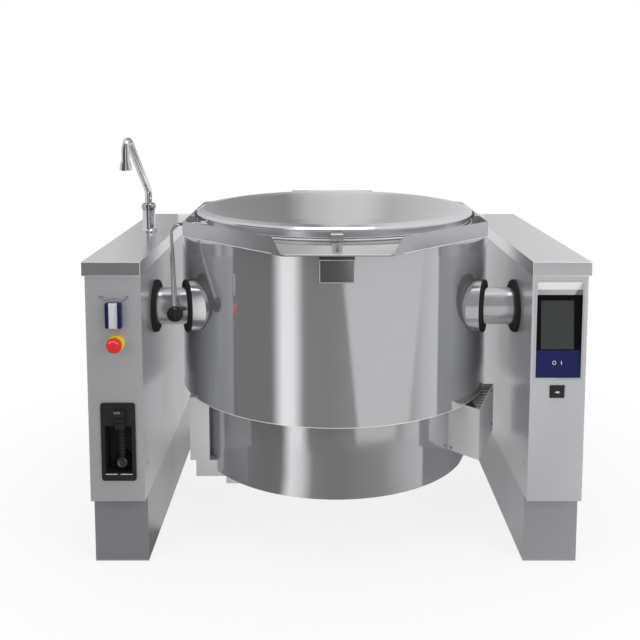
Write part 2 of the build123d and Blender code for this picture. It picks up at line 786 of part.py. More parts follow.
def lip_opening():
    """Cutter between the side walls; its sloping sides lean their ends back."""
    c = rim_corner_half + rim_wall
    y = kettle_y - rim_reach - cut_past
    z0, z1 = casing_top, rim_top + 1
    mouth = make_face(Polyline(
        (-c, y, z0), (c, y, z0), (c + lip_slant, y, z1), (-c - lip_slant, y, z1), close=True))
    return extrude(mouth, lip_width + lip_slant, dir=(0, 1, 0))


def lip_corner(radius):
    """Where a circle about the kettle meets the inner face of a 45 degree wall."""
    offset_line = rim_corner_half + rim_reach - rim_wall * sqrt(2)
    x = (offset_line - sqrt(2 * radius ** 2 - offset_line ** 2)) / 2
    return x, offset_line - x


def lip_zone(z0, z1):
    """Plan area of the pouring lip, outside its seam and ahead of the side corners."""
    ahead = kettle_y - lip_corner(lip_seam_radius)[1]
    zone = block(span(0, beyond), (kettle_y - beyond, ahead), (z0, z1))
    return zone - drum(lip_seam_radius, z0, z1)


def rim_collar():
    """Folded rim: side walls, base plate on the casing and the vessel's seat plate."""
    base_top = casing_top + rim_base_sheet
    seat_low = seat_top - seat_sheet
    neck = casing_radius - casing_flange
    walls = rim_walls(base_top, rim_top) - deck_zone() - lip_opening()
    walls -= block(
        (-rim_half_width - cut_past, -rim_half_width + rim_wall + cut_past),
        span(front + handle_setback, handle_notch), (seat_top, rim_top + cut_past))
    base = prism(rim_outline(), casing_top, base_top) - drum(neck, casing_top, base_top)
    seat = prism(rim_outline(rim_wall), seat_low, seat_top)
    seat -= drum(gasket_radius - gasket_width / 2, seat_low, seat_top)
    seat -= lip_zone(seat_low, seat_top)
    skirt = drum(neck, casing_top, seat_low) - drum(neck - rim_wall, casing_top, seat_low)
    return walls + base + seat + skirt


def lip_surface():
    """Ruled sheet from the round seam down to the straight pouring edge."""
    r = lip_seam_radius + lip_seam_gap
    x, y = lip_corner(r)
    side, middle, edge_y = kettle_y - y, kettle_y - r, kettle_y - rim_reach
    seam = ThreePointArc((-x, side, seat_top), (0, middle, seat_top), (x, side, seat_top))
    half = rim_corner_half - rim_wall * sqrt(2)
    low = seat_top - lip_drop
    edge = Line((-half, edge_y, low), (half, edge_y, low))
    return Face.make_surface_from_curves(seam.edge(), edge.edge())


def pouring_lip():
    """Lip sheet, and a grooved post through it that stands on the rim's base plate."""
    sheet = extrude(lip_surface(), lip_sheet, dir=(0, 0, -1))
    z = (casing_top + rim_base_sheet, lid_bottom + lug_rise - free_gap)
    near = kettle_y - rim_reach + catch_edge_gap
    far = kettle_y - lip_seam_radius - lip_seam_gap - catch_seam_gap
    post = block(span(0, catch_half), (near, far), z)
    post = fillet(post.edges().filter_by(Axis.Z), catch_corner)
    groove = block(span(0, catch_groove / 2), (near - cut_past, near + catch_groove_depth), z)
    return sheet + (post - groove)


def rear_deck():
    """Raised deck behind the kettle's widest point, with the hinge recess."""
    w, start = rim_wall, kettle_y + rim_deck_start
    walls = rim_walls(casing_top + rim_base_sheet, rim_top) & deck_zone()
    plate = prism(rim_outline(), rim_top - w, rim_top) & deck_zone()
    face = block(span(0, rim_half_width - w), (start, start + w), (seat_top, rim_top))
    collar = drum(deck_collar_radius + w, seat_top, rim_top) & deck_zone()
    hole = drum(deck_collar_radius, casing_top, rim_top + cut_past)
    reach = hinge_barrel_radius + hinge_slot
    recess = block(
        span(0, hinge_barrel_half + hinge_cheek_width + hinge_slot),
        (kettle_y + deck_collar_radius - 2 * hinge_barrel_radius, hinge_y + reach),
        (hinge_height - reach, rim_top + cut_past))
    return walls + plate + face + collar - hole - recess


def drum_plate():
    """Plain framed plate on the casing under the pouring lip."""
    r, b = casing_radius, plate_border
    z = (casing_top - plate_height, casing_top)
    ahead = (kettle_y - beyond, kettle_y)
    sheet = drum(r + plate_sheet, *z) - drum(r, *z)
    frame = drum(r + 2 * plate_sheet, *z) - drum(r, *z)
    window = block(span(0, plate_half - b), ahead, (z[0] + b, z[1] - plate_head))
    return (sheet + (frame - window)) & block(span(0, plate_half), ahead, z)


# ---- services on the kettle ---------------------------------------------------
def around(angle):
    """Frame at the kettle's axis, turned so that its X points along an angle."""
    return Pos(0, kettle_y, 0) * Rot(0, 0, angle)


def safety_pipe():
    start, end = sump_radius - jacket_wall, lower_radius + valve_reach
    return around(valve_angle) * rod_x(valve_pipe_radius, start, end, 0, valve_height)


def safety_valve():
    """Spring-loaded safety valve on a pipe from the jacket."""
    h, r, bonnet = valve_height, valve_body_radius, valve_bonnet_radius
    low, shoulder, neck, top = (
        h - valve_below, h - valve_pipe_radius, h + valve_bonnet_radius, h + valve_above)
    step = r - bonnet
    body = turned([
        (0, low), (bonnet, low), (bonnet, shoulder), (r, shoulder + step), (r, neck),
        (bonnet, neck + step), (bonnet, top - step), (bonnet - step / 2, top), (0, top)])
    pipe = safety_pipe() - drum(sump_radius - jacket_wall, sump_bottom, jacket_bottom)
    return pipe + around(valve_angle) * Pos(lower_radius + valve_reach, 0, 0) * body


def valve_cover():
    """Folded guard outside the lower casing, open above, with a slatted floor."""
    z = (casing_bottom - guard_height, casing_bottom)
    corner = (casing_radius - guard_corner_inset, guard_front_inset - casing_radius)
    start = (corner[0] - guard_run, corner[1] + guard_run)
    end = (casing_radius + guard_reach, -guard_rear)
    plan = make_face(Polyline(start, corner, end, (end[0] - guard_mouth, end[1]), close=True))
    plan = Pos(0, kettle_y, 0) * plan
    inner = offset(plan, -guard_sheet, kind=Kind.INTERSECTION)
    shell = prism(plan, *z) - prism(inner, z[0] + guard_sheet, z[1])
    y, top = kettle_y + end[1], z[1] - guard_slat_drop
    slats = [
        block((corner[0], end[0]), span(y - guard_slat_pitch * n, guard_slat_width / 2),
              (top - guard_slat_sheet, top)) & prism(inner, *z)
        for n in range(1, guard_slats + 1)
    ]
    return shell + slats - drum(lower_radius, *z)


def cable_duct():
    """Sheet duct down the left of the lower casing to a box over the heater ends."""
    r, start = lower_radius, kettle_y + duct_front
    y = (start, start + duct_depth)
    foot, low = lower_bottom + duct_rise, lower_bottom - duct_step_drop
    box_x = (box_inset - r, -box_inner)
    upright = block((-r - duct_out, duct_in - r), y, (foot, casing_bottom))
    step = block((duct_step_inset - r, box_x[0]), y, (low, foot))
    box = block(box_x, (start, start + box_depth), (lower_bottom - box_drop, lower_bottom))
    box = chamfer(box.faces().sort_by(Axis.Z)[0].edges(), box_edge)
    return upright + step - drum(r, lower_bottom, casing_bottom) + box


# ---- lid --------------------------------------------------------------------
def lid_profile(inset):
    """Outside of the lid as a line from the crown to the skirt's lower edge."""
    r, e = lid_radius - inset, lid_edge_height
    crown = lid_crown - inset
    return [
        (0, crown), (r * 0.3, crown - lid_dome * 0.1), (r * 0.6, crown - lid_dome * 0.25),
        (r * 0.85, crown - lid_dome * 0.43), (r * 0.95, crown - lid_dome * 0.6),
        (r - lid_skirt_taper, e + lid_dome * 0.22 - inset), (r - 1, e + lid_dome * 0.08), (r, e),
        (r - 2, e - lid_dome * 0.08), (r - lid_skirt_taper, lid_bottom),
    ]


def lid_outside():
    """Solid envelope of the lid, used to fit what sits against it."""
    return turned(lid_profile(0) + [(0, lid_bottom)], 0, kettle_y)


def lid_shell():
    """Domed outer skin with a rolled edge, and a lug over the catch of the lip."""
    skin = turned(lid_profile(0) + list(reversed(lid_profile(lid_sheet))), 0, kettle_y)
    y = (kettle_y - lip_seam_radius + lug_seam_gap, kettle_y)
    lug = block(span(0, lug_half), y, (lid_bottom + lug_rise, lid_edge_height - lug_edge_drop))
    lug = fillet(lug.edges().filter_by(Axis.X).group_by(Axis.Y)[0], lug_corner)
    return skin + (lug - lid_outside())


def lid_liner():
    """Inner skin that closes the lid and holds the gasket in a step."""
    r, s, z = lid_radius - lid_skirt_taper - lid_sheet, lid_sheet, lid_bottom
    g = gasket_radius + gasket_width / 2
    h = g - gasket_width
    rise, step = z + liner_step, z + gasket_step
    slope = h - gasket_width
    skin = [
        (0, rise), (slope - gasket_width, rise), (slope, step), (h, z), (h, step), (g, step),
        (g, z), (r, z), (r, z + s), (g + s, z + s), (g + s, step + s), (h - s, step + s),
        (slope - gasket_width, rise + s), (0, rise + s),
    ]
    return turned(skin, 0, kettle_y)


def lid_gasket():
    """Square-section rubber ring pressed on the vessel's seat."""
    z, half = (seat_top, lid_bottom + gasket_step), gasket_width / 2
    return drum(gasket_radius + half, *z) - drum(gasket_radius - half, *z)


def hinge_arm():
    """Barrel on the hinge's shaft with a web welded to the lid's skirt."""
    x = span(0, hinge_barrel_half)
    barrel = rod_x(hinge_barrel_radius, *x, hinge_y, hinge_height)
    web = block(
        span(0, hinge_barrel_half - hinge_web_inset),
        (kettle_y + lid_radius - hinge_web_grip, hinge_y),
        (hinge_height - hinge_web_below, hinge_height + hinge_web_above))
    bore = rod_x(hinge_pin_radius + running_fit, *x, hinge_y, hinge_height)
    return barrel + web - bore - lid_outside()


def hinge_bracket():
    """Hinge shaft between two cheeks that stand on the vessel's seat plate."""
    end = hinge_barrel_half + hinge_cheek_width
    x = (hinge_barrel_half + free_gap, end)
    head = rod_x(hinge_barrel_radius, *x, hinge_y, hinge_height)
    cheek = head + block(x, span(hinge_y, hinge_barrel_radius), (seat_top, hinge_height))
    shaft = rod_x(hinge_pin_radius, -end, end, hinge_y, hinge_height)
    return shaft + cheek + other_side(cheek)


handle_corner = Vector(-rim_half_width - handle_stand_off, front + handle_setback, handle_height)
ball_centre = Vector(handle_corner.X + ball_inset, front + ball_setback, handle_height - ball_drop)
handle_down = (ball_centre - handle_corner).normalized()
ball_seat = ball_radius - ball_flat     # ball's centre to the end of the grip


def lid_handle():
    """Rod out of the lid's side, bent down and swelling towards the ball."""
    y, z = handle_corner.Y, handle_corner.Z
    turn = radians(handle_down.get_angle(Vector(-1, 0, 0)))
    leg = handle_bend * tan(turn / 2)
    out = handle_corner + handle_down * leg
    straight = rod_x(handle_rod_radius, handle_corner.X + leg, 0, y, z)
    line = FilletPolyline((0, y, z), handle_corner, ball_centre, radius=handle_bend)
    bend = line.edges().sort_by(SortBy.LENGTH)[0]
    curve = sweep(Plane(origin=bend @ 0, z_dir=bend % 0) * Circle(handle_rod_radius), bend)
    length = (ball_centre - out).length - ball_seat
    grip = Plane(origin=out, z_dir=handle_down) * Pos(0, 0, length / 2) * Cone(
        handle_rod_radius, handle_grip_radius, length)
    boss = rod_x(handle_boss_radius, handle_boss_inset - lid_radius, 0, y, z)
    return straight + curve + grip + ball_stub() + boss - lid_outside()


def ball_stub():
    """Threaded end of the rod, from the ball's seat to its centre."""
    seat = Plane(origin=ball_centre, z_dir=-handle_down) * Pos(0, 0, ball_seat / 2)
    return seat * Cylinder(ball_stub_radius, ball_seat)


def handle_ball():
    """Plastic ball screwed on the end of the handle's rod, with a flat seat for the grip."""
    seat = Plane(origin=ball_centre, z_dir=-handle_down) * Pos(0, 0, ball_seat + ball_radius)
    flat = seat * Cylinder(ball_radius, 2 * ball_radius)
    return Pos(*ball_centre) * Sphere(ball_radius) - flat - ball_stub()


# ---- water tap -----------------------------------------------------------------
socket_floor = worktop_height + tap_collar_height - tap_socket_depth


def tap_column():
    """Fixed foot of the tap with its threaded shank and nut under the worktop."""
    z, top = worktop_height, worktop_height + tap_collar_height
    r, p, step = tap_collar_radius, tap_pipe_radius + running_fit, tap_flange_height
    body = turned([
        (tap_bore_radius, z - tap_shank_length), (tap_shank_radius, z - tap_shank_length),
        (tap_shank_radius, z), (tap_flange_radius, z), (tap_flange_radius, z + step),
        (r + 1, z + 2 * step), (r, z + 3 * step), (r, top - step), (r - step / 2, top), (p, top),
        (p, socket_floor), (tap_bore_radius, socket_floor),
    ], -tap_x, tap_y)
    nut_top = worktop_height - worktop_sheet
    nut = extrude(Pos(-tap_x, tap_y, nut_top) * RegularPolygon(tap_nut_radius, 6), -tap_nut_height)
    return body + (nut - rod_z(tap_shank_radius, nut_top - tap_nut_height, nut_top, -tap_x, tap_y))


def tap_spout():
    """Bent pipe that swivels in the column."""
    z, end = worktop_height, tap_y - tap_reach
    outlet = z + tap_outlet_height + tap_nozzle_length
    corners = [(tap_y, socket_floor), (tap_y, z + tap_elbow_height), (end, z + tap_crest), (end, outlet)]
    path = FilletPolyline(*[(-tap_x, *corner) for corner in corners], radius=tap_bend)
    section = Circle(tap_pipe_radius) - Circle(tap_pipe_radius - tap_pipe_wall)
    return sweep(Plane(origin=path @ 0, z_dir=path % 0) * section, path)


def tap_nozzle():
    """Outlet with a swelling barrel and an aerator's recess."""
    z = worktop_height + tap_outlet_height
    r, p, edge = tap_nozzle_radius, tap_pipe_radius, aerator_wall / 2
    top = z + tap_nozzle_length
    return turned([
        (0, z + aerator_depth), (r - aerator_wall, z + aerator_depth), (r - aerator_wall, z),
        (r - edge, z), (r, z + edge), (r, z + tap_nozzle_barrel), (p, top - edge), (p, top),
        (0, top),
    ], -tap_x, tap_y - tap_reach)


def water_valve():
    """Solenoid valve under the tap, its pipe and the threaded inlet at the rear wall."""
    x, z, end = -service_x, service_height, valve_top - water_valve_height
    body = block(
        span(-tap_x, valve_half_width), span(tap_y, valve_half_depth), (end, valve_top))
    body = chamfer(body.edges().filter_by(Axis.Z), valve_edge)
    coil_y = tap_y + valve_half_depth
    coil = rod_y(coil_radius, coil_y, coil_y + coil_length, -tap_x, (end + valve_top) / 2)
    inner, inside = panel_back - service_inner_reach, panel_back - panel_sheet
    outer = back - service_stub_gap
    stub = rod_y(tap_shank_radius, inner, outer, x, z)
    neck = rod_y(service_hole_radius, inside, panel_back, x, z)
    collar_radius = service_hole_radius + service_collar_width
    collar = rod_y(collar_radius, inside - service_collar_length, inside, x, z)
    bore = rod_y(water_pipe_radius - water_pipe_wall, inner, outer + cut_past, x, z)
    path = FilletPolyline((x, inner, z), (x, tap_y, z), (x, tap_y, end), radius=water_pipe_bend)
    pipe = sweep(Plane(origin=path @ 0, z_dir=path % 0) * Circle(water_pipe_radius), path)
    return stub + collar + neck - bore + pipe + body + coil


def cable_gland():
    """Clamping gland for the supply cable in the right rear panel."""
    x, y, z = service_x, panel_back, service_height
    inside = y - panel_sheet
    hexagon = RegularPolygon(gland_nut_radius, 6)
    neck = rod_y(service_hole_radius, inside - gland_neck, y, x, z)
    nut = extrude(Plane(origin=(x, y, z), z_dir=(0, 1, 0)) * hexagon, gland_nut_length)
    lock = extrude(Plane(origin=(x, inside, z), z_dir=(0, -1, 0)) * hexagon, gland_lock_length)
    dome = rod_y(gland_dome_radius, y + gland_nut_length, back - gland_end_gap, x, z)
    end = dome.edges().filter_by(GeomType.CIRCLE).sort_by(Axis.Y)[-1]
    dome = fillet(end, (gland_dome_radius - gland_bore) / 2)
    return neck + nut + lock + dome - rod_y(gland_bore, inside - gland_neck, back, x, z)


# ---- controls on the left console -------------------------------------------------
def tilt_knob():
    """Rectangular knob plate with a raised grip bar and its spindle."""
    x, z, y = -knob_x, knob_height, panel_front - free_gap
    face = y - knob_depth
    plate = block(span(x, knob_width / 2), (face, y), span(z, knob_length / 2))
    plate = fillet(plate.edges().filter_by(Axis.Y), knob_corner)
    grip_z = span(z, knob_length / 2 - grip_end_gap)
    grip = block(span(x, grip_width / 2), (face - grip_depth, face), grip_z)
    grip = fillet(grip.edges().filter_by(Axis.Y), grip_corner)
    grip = fillet(grip.faces().sort_by(Axis.Y)[0].edges(), grip_edge)
    return plate + grip + rod_y(spindle_radius, y, y + spindle_length, x, z)


def switch_block(x, z, bore):
    """Contact block behind the panel with a neck through the panel's hole."""
    y = panel_front
    back_face = y + panel_sheet
    body = block(span(x, switch_half), (back_face, y + switch_depth), span(z, switch_half))
    neck = rod_y(control_hole_radius, y, back_face, x, z)
    return body + neck - rod_y(bore, y - cut_past, y + switch_bore_depth, x, z)


def stop_collar():
    """Yellow ring that the stop button sits in."""
    y, x, z = panel_front, -stop_x, stop_height
    ring = rod_y(stop_collar_radius, y - stop_collar_height, y, x, z)
    ring = chamfer(ring.edges().filter_by(GeomType.CIRCLE).sort_by(Axis.Y)[0], stop_collar_edge)
    hole = rod_y(stop_stem_radius + sliding_fit, *span(y, 2 * stop_collar_height), x, z)
    return ring - hole


def stop_button():
    """Mushroom head on a round stem, with room for its travel over the collar."""
    r, stem, low = stop_radius, stop_stem_radius, stop_head_base
    under = stop_collar_height + stop_travel + 2 * stop_collar_edge / 3
    crown = stop_head_top
    head = turned([
        (0, crown), (r * 0.6, crown - 1), (r * 0.9, crown - 5), (r, crown - 10), (r, low),
        (r * 0.8, under), (stem, under), (stem, -stop_stem_length), (0, -stop_stem_length)])
    return Plane(origin=(-stop_x, panel_front, stop_height), z_dir=(0, -1, 0)) * head


pocket_back = panel_front + bay_depth - bay_back
socket_face = pocket_back - socket_depth


def probe_bay():
    """Moulded bay with a rounded front flange, a pocket, a clip and a socket."""
    y, x, z = panel_front, -bay_x, bay_height
    face = y - bay_flange
    flange = block(span(x, bay_width / 2), (face, y), span(z, bay_length / 2))
    flange = fillet(flange.edges().filter_by(Axis.Y), bay_corner)
    b = bay_flange_border + sliding_fit
    tub = block(span(x, bay_width / 2 - b), (y, y + bay_depth), span(z, bay_length / 2 - b))
    pocket = block(span(x, pocket_half), (face - 1, pocket_back), (pocket_low, pocket_high))
    pocket = fillet(pocket.edges().filter_by(Axis.Y), pocket_corner)
    low = pocket_high - clip_overlap
    clip_z = (low, z + bay_length / 2 - clip_top_gap)
    clip = block(span(-probe_x, clip_half), (face - clip_depth, face), clip_z)
    for level in clip_groove_levels:
        clip -= block(
            span(-probe_x, clip_half + 1),
            (face - clip_depth - 1, face - clip_depth + clip_groove_depth),
            (low + level, low + level + clip_groove))
    socket = rod_y(probe_plug_radius + socket_wall, socket_face, pocket_back, -probe_x, probe_height)
    hole_radius = probe_pin_radius + sliding_fit
    hole = rod_y(hole_radius, socket_face - 1, pocket_back, -probe_x, probe_height)
    return flange + tub - pocket + clip + socket - hole


def probe():
    """Temperature probe's plug: round nose, pin and ribbed upright stalk."""
    x, z, y0 = -probe_x, probe_height, panel_front + probe_nose_setback
    nose = rod_y(probe_plug_radius, y0, socket_face, x, z)
    nose = chamfer(nose.edges().filter_by(GeomType.CIRCLE).sort_by(Axis.Y)[0], probe_nose_setback)
    pin = rod_y(probe_pin_radius, socket_face, socket_face + probe_pin_length, x, z)
    top = pocket_high - probe_stalk_top_gap
    r = probe_stalk_radius
    core, bevel = r - probe_rib_depth, probe_rib_depth * 0.8
    pitch = (top - z - probe_rib_start) / probe_ribs
    profile = [(0, z), (core, z)]
    for n in range(probe_ribs):
        low = z + probe_rib_start + n * pitch
        high = low + pitch - bevel
        profile += [(core, low), (r, low + bevel), (r, high - bevel), (core, high)]
    profile += [(core, top), (0, top)]
    return nose + pin + turned(profile, x, y0 + probe_stalk_radius)


# ---- controls on the right console --------------------------------------------------
glass_foot = screen_low + bezel_border
glass_near, glass_far = screen_setback, screen_setback + screen_glass


def screen_section(points):
    """Extrude a (depth, height) outline across the screen's width."""
    half = screen_half - bezel_border
    outline = [(screen_x - half, panel_front + depth, z) for depth, z in points]
    return extrude(make_face(Polyline(*outline, close=True)), 2 * half, dir=(1, 0, 0))


def screen_bezel():
    """Bright surround with a pocket whose back leans away towards the top."""
    y, b, f = panel_front, bezel_border, sliding_fit
    shelf = screen_pocket_top - b
    flange = block(
        span(screen_x, screen_half + b), (y - bezel_flange, y),
        (screen_low - b, screen_pocket_top + b))
    tub = block(
        span(screen_x, screen_half - f), (y, y + screen_tub),
        (screen_low + f, screen_pocket_top - f))
    pocket = screen_section([
        (-cut_past, glass_foot), (glass_far, glass_foot), (glass_far + screen_lean, screen_high),
        (glass_near + screen_lean, screen_high), (0, shelf), (-cut_past, shelf)])
    return flange + tub - pocket


def screen_glass_plate():
    """Leaning glass front of the touch screen."""
    return screen_section([
        (glass_near, glass_foot), (glass_far, glass_foot),
        (glass_far + screen_lean, screen_high), (glass_near + screen_lean, screen_high)])


def display_module():
    """Electronics housing behind the screen."""
    y = panel_front + screen_tub
    z = (screen_low + module_low_gap, screen_high - module_high_gap)
    box = block(span(screen_x, module_half), (y, y + module_depth), z)
    return chamfer(box.faces().sort_by(Axis.Y)[-1].edges(), module_edge)


def usb_socket():
    """Data socket with a front flange and two hinge ears for its cover."""
    y, x, z = panel_front, usb_x, usb_height
    w, h, b = usb_width / 2, usb_length / 2, usb_tub_border + sliding_fit
    reach, knuckle = w + usb_border, usb_cover_sheet / 2
    high = usb_hinge_z + knuckle + usb_pin_radius
    flange = block(span(x, reach), (y - usb_flange, y), (z - h - usb_pin_radius, high))
    tub = block(span(x, w - b), (y, y + usb_tub_depth), span(z, h - b))
    slot = block(span(x, usb_slot_half), (y - cut_past, y + usb_slot_depth), span(z, usb_slot_rise))
    ears = [
        block((a, a + usb_ear), (usb_hinge_y - knuckle, y - usb_flange),
              (usb_hinge_z - knuckle - usb_pin_radius, high))
        for a in (x - reach, x + reach - usb_ear)
    ]
    holes = rod_x(usb_pin_radius + running_fit, *span(x, reach + 1), usb_hinge_y, usb_hinge_z)
    return flange + tub + ears - slot - holes


def usb_cover():
    """Hinged cover plate over the data socket."""
    w, knuckle = usb_width / 2, usb_cover_sheet / 2
    x = span(usb_x, w)
    plate = block(x, span(usb_hinge_y, knuckle), (usb_height - usb_length / 2, usb_hinge_z))
    barrel = rod_x(knuckle, *x, usb_hinge_y, usb_hinge_z)
    pin_half = w + usb_border - sliding_fit
    pins = rod_x(usb_pin_radius, *span(usb_x, pin_half), usb_hinge_y, usb_hinge_z)
    return plate + barrel + pins


def control_box():
    """Closed electrical box on the inner wall of the right console."""
    x, y, z = inner_wall + panel_sheet, front + box_setback, plinth_height + box_rise
    box = block((x, x + box_width), (y, y + box_length), (z, z + box_height))
    return fillet(box.faces().sort_by(Axis.X)[-1].edges(), box_corner)


# ---- write every sub-part ------------------------------------------------------------
def as_modelled(shape):
    return shape


for side, place in (("left", other_side), ("right", as_modelled)):
    save(f"{side}_plinth", place(plinth()))
    save(f"{side}_inner_panel", place(inner_panel()))
    save(f"{side}_outer_panel", place(outer_panel()))
    save(f"{side}_bearing_stand", place(bearing_stand()))
    save(f"{side}_bearing", place(bearing()))
tap_hole = rod_z(tap_shank_radius, *span(worktop_height, cut_past), -tap_x, tap_y)
save("left_worktop", other_side(worktop()) - tap_hole)
save("right_worktop", worktop())
save("left_front_panel", left_front_panel())
save("right_front_panel", right_front_panel())
save("levelling_feet", Compound([*feet(), *[other_side(foot) for foot in feet()]]))
bolts = [bearing_bolt(y) for y in bolt_places]
save("bearing_bolts", Compound([*bolts, *[other_side(bolt) for bolt in bolts]]))
save("console_seals", Compound([console_seal(), other_side(console_seal())]))
save("kettle_seals", Compound([kettle_seal(), other_side(kettle_seal())]))
save("right_trunnion", trunnion(bearing_span[1] + journal_end_gap))
save("left_trunnion", other_side(trunnion(gearbox_span[1])))
save("tilt_gearbox", other_side(gearbox()))
save("tilt_motor", other_side(tilt_motor()))

save("inner_vessel", vessel())
save("steam_jacket", jacket())
save("heating_elements", heaters())
save("insulation", insulation())
save("drum_casing", drum_casing())
save("lower_casing", lower_casing())
save("bottom_cover", bottom_cover())
save("rim_collar", rim_collar())
save("pouring_lip", pouring_lip())
save("rear_deck", rear_deck())
save("drum_front_plate", drum_plate())
save("safety_valve", safety_valve())
save("valve_cover", valve_cover())
save("cable_duct", cable_duct())
save("hinge_bracket", hinge_bracket())

save("lid_shell", lid_shell())
save("lid_liner", lid_liner())
save("lid_gasket", lid_gasket())
save("lid_hinge_arm", hinge_arm())
save("lid_handle", lid_handle())
save("lid_handle_ball", handle_ball())

save("tap_column", tap_column())
save("tap_spout", tap_spout())
save("tap_nozzle", tap_nozzle())
save("water_valve", water_valve())
save("cable_gland", cable_gland())
save("control_box", control_box())

save("tilt_knob", tilt_knob())
save("control_switches", Compound([
    switch_block(-knob_x, knob_height, spindle_radius + running_fit),
    switch_block(-stop_x, stop_height, stop_stem_radius + sliding_fit),
]))
save("emergency_stop_collar", stop_collar())
save("emergency_stop_button", stop_button())
save("probe_bay", probe_bay())
save("temperature_probe", probe())
save("screen_bezel", screen_bezel())
save("screen_glass", screen_glass_plate())
save("display_module", display_module())
save("usb_socket", usb_socket())
save("usb_cover", usb_cover())
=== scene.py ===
# %% [markdown]
# A tilting steam kettle hangs on two trunnions between two service consoles.
# The solids come packed, with their joints, and are never moved or changed here.
# This notebook gives them their finishes and adds the small pieces that a solid
# model leaves out: hems, rolled edges, screw heads, grips, signs and the like.

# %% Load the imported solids
from math import cos, degrees, pi, radians, sin, sqrt

import bmesh
import bpy
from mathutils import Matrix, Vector


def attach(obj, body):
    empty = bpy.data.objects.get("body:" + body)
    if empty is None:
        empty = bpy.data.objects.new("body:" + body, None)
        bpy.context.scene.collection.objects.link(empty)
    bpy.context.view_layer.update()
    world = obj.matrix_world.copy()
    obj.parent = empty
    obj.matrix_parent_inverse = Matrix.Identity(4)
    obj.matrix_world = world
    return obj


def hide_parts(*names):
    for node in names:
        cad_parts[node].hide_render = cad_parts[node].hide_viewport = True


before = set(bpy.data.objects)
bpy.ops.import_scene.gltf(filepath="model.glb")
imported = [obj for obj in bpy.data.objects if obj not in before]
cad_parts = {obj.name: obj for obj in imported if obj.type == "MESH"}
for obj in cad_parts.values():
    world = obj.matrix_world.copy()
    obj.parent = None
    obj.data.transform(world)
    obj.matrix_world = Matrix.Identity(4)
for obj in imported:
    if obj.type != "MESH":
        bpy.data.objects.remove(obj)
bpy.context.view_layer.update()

# %% [markdown]
# A machine of this height is pictured from eye level, a few steps away. Upright
# edges stay upright when the camera hardly tips, so the framing comes from the
# lens shift and only a little from tipping the camera.

# %% Camera at eye level
scene = bpy.context.scene
eye_place = Vector((-0.0466, -2.7976, 1.36))
eye_tip = radians(5.937)

camera_data = bpy.data.cameras.new("eye_level")
camera_data.lens = 48.166
camera_data.sensor_width = 36.0
camera_data.shift_y = -0.21
camera_data.clip_end = 60.0
camera = bpy.data.objects.new("eye_level", camera_data)
scene.collection.objects.link(camera)
camera.location = eye_place
camera.rotation_euler = (pi / 2 - eye_tip, 0.0, 0.0)
scene.camera = camera
print("camera at", tuple(camera.location), "tipped", round(degrees(eye_tip), 1))

# %% [markdown]
# Every piece below starts as a primitive and is shaped in edit mode, as by hand.
# An operator acts on all that is selected, so each helper first clears the
# selection. A few small helpers keep the cells short: some open a piece, pick its
# faces or edges and close it again, and the others link the nodes of a material.

# %% Helpers for selecting and shaping
scene.view_settings.view_transform = "Standard"


def clear_selection():
    if bpy.context.object and bpy.context.object.mode != "OBJECT":
        bpy.ops.object.mode_set(mode="OBJECT")
    bpy.ops.object.select_all(action="DESELECT")


def take(piece):
    """Make one piece the only selected and active object."""
    clear_selection()
    piece.select_set(True)
    bpy.context.view_layer.objects.active = piece


def open_piece(piece, mode="FACE"):
    """Edit mode with nothing selected."""
    take(piece)
    bpy.ops.object.mode_set(mode="EDIT")
    bpy.ops.mesh.select_mode(type=mode)
    bpy.ops.mesh.select_all(action="DESELECT")


def close_piece():
    bpy.ops.object.mode_set(mode="OBJECT")


def started(name):
    """Name the new primitive and put its place into its mesh."""
    piece = bpy.context.object
    piece.name = piece.data.name = name
    bpy.ops.object.transform_apply(location=True, rotation=True, scale=True)
    return piece


def pick_faces(piece, wanted):
    """Select the faces whose centre and normal pass a test."""
    mesh = bmesh.from_edit_mesh(piece.data)
    for face in mesh.faces:
        face.select_set(bool(wanted(face.calc_center_median(), face.normal)))
    bmesh.update_edit_mesh(piece.data)


def pick_edges(piece, wanted):
    """Select the edges whose middle and direction pass a test."""
    mesh = bmesh.from_edit_mesh(piece.data)
    for edge in mesh.edges:
        a, b = (v.co for v in edge.verts)
        edge.select_set(bool(wanted((a + b) / 2, (b - a).normalized())))
    bmesh.update_edit_mesh(piece.data)


def wire(tree, *pairs):
    """Link (output, input) pairs of sockets."""
    for start, end in pairs:
        tree.links.new(start, end)


def new_material(name):
    made = bpy.data.materials.new(name)
    made.use_nodes = True
    return made


def reckon(tree, operation, *values):
    """A Math node whose inputs are numbers or other nodes' outputs."""
    node = tree.nodes.new("ShaderNodeMath")
    node.operation = operation
    for socket, value in zip(node.inputs, values):
        if isinstance(value, (int, float)):
            socket.default_value = value
        else:
            wire(tree, (value, socket))
    return node.outputs[0]


print("helpers ready")

# %% [markdown]
# Stainless steel has hardly any colour of its own: it shows the room. Three soft
# lamps give plain light, and the pale floor keeps a soft shadow near the feet. Far
# from the machine the floor fades to plain white for the camera, for glossy rays
# and for rays through glass, so no horizon cuts the picture.

# %% Floor, background and lamps
def seen_directly(tree):
    """1 for rays from the camera, from shiny surfaces and through glass."""
    path = tree.nodes.new("ShaderNodeLightPath")
    total = path.outputs["Is Camera Ray"]
    for kind in ("Is Glossy Ray", "Is Transmission Ray"):
        more = tree.nodes.new("ShaderNodeMath")
        more.operation = "MAXIMUM"
        wire(tree, (total, more.inputs[0]), (path.outputs[kind], more.inputs[1]))
        total = more.outputs[0]
    return total


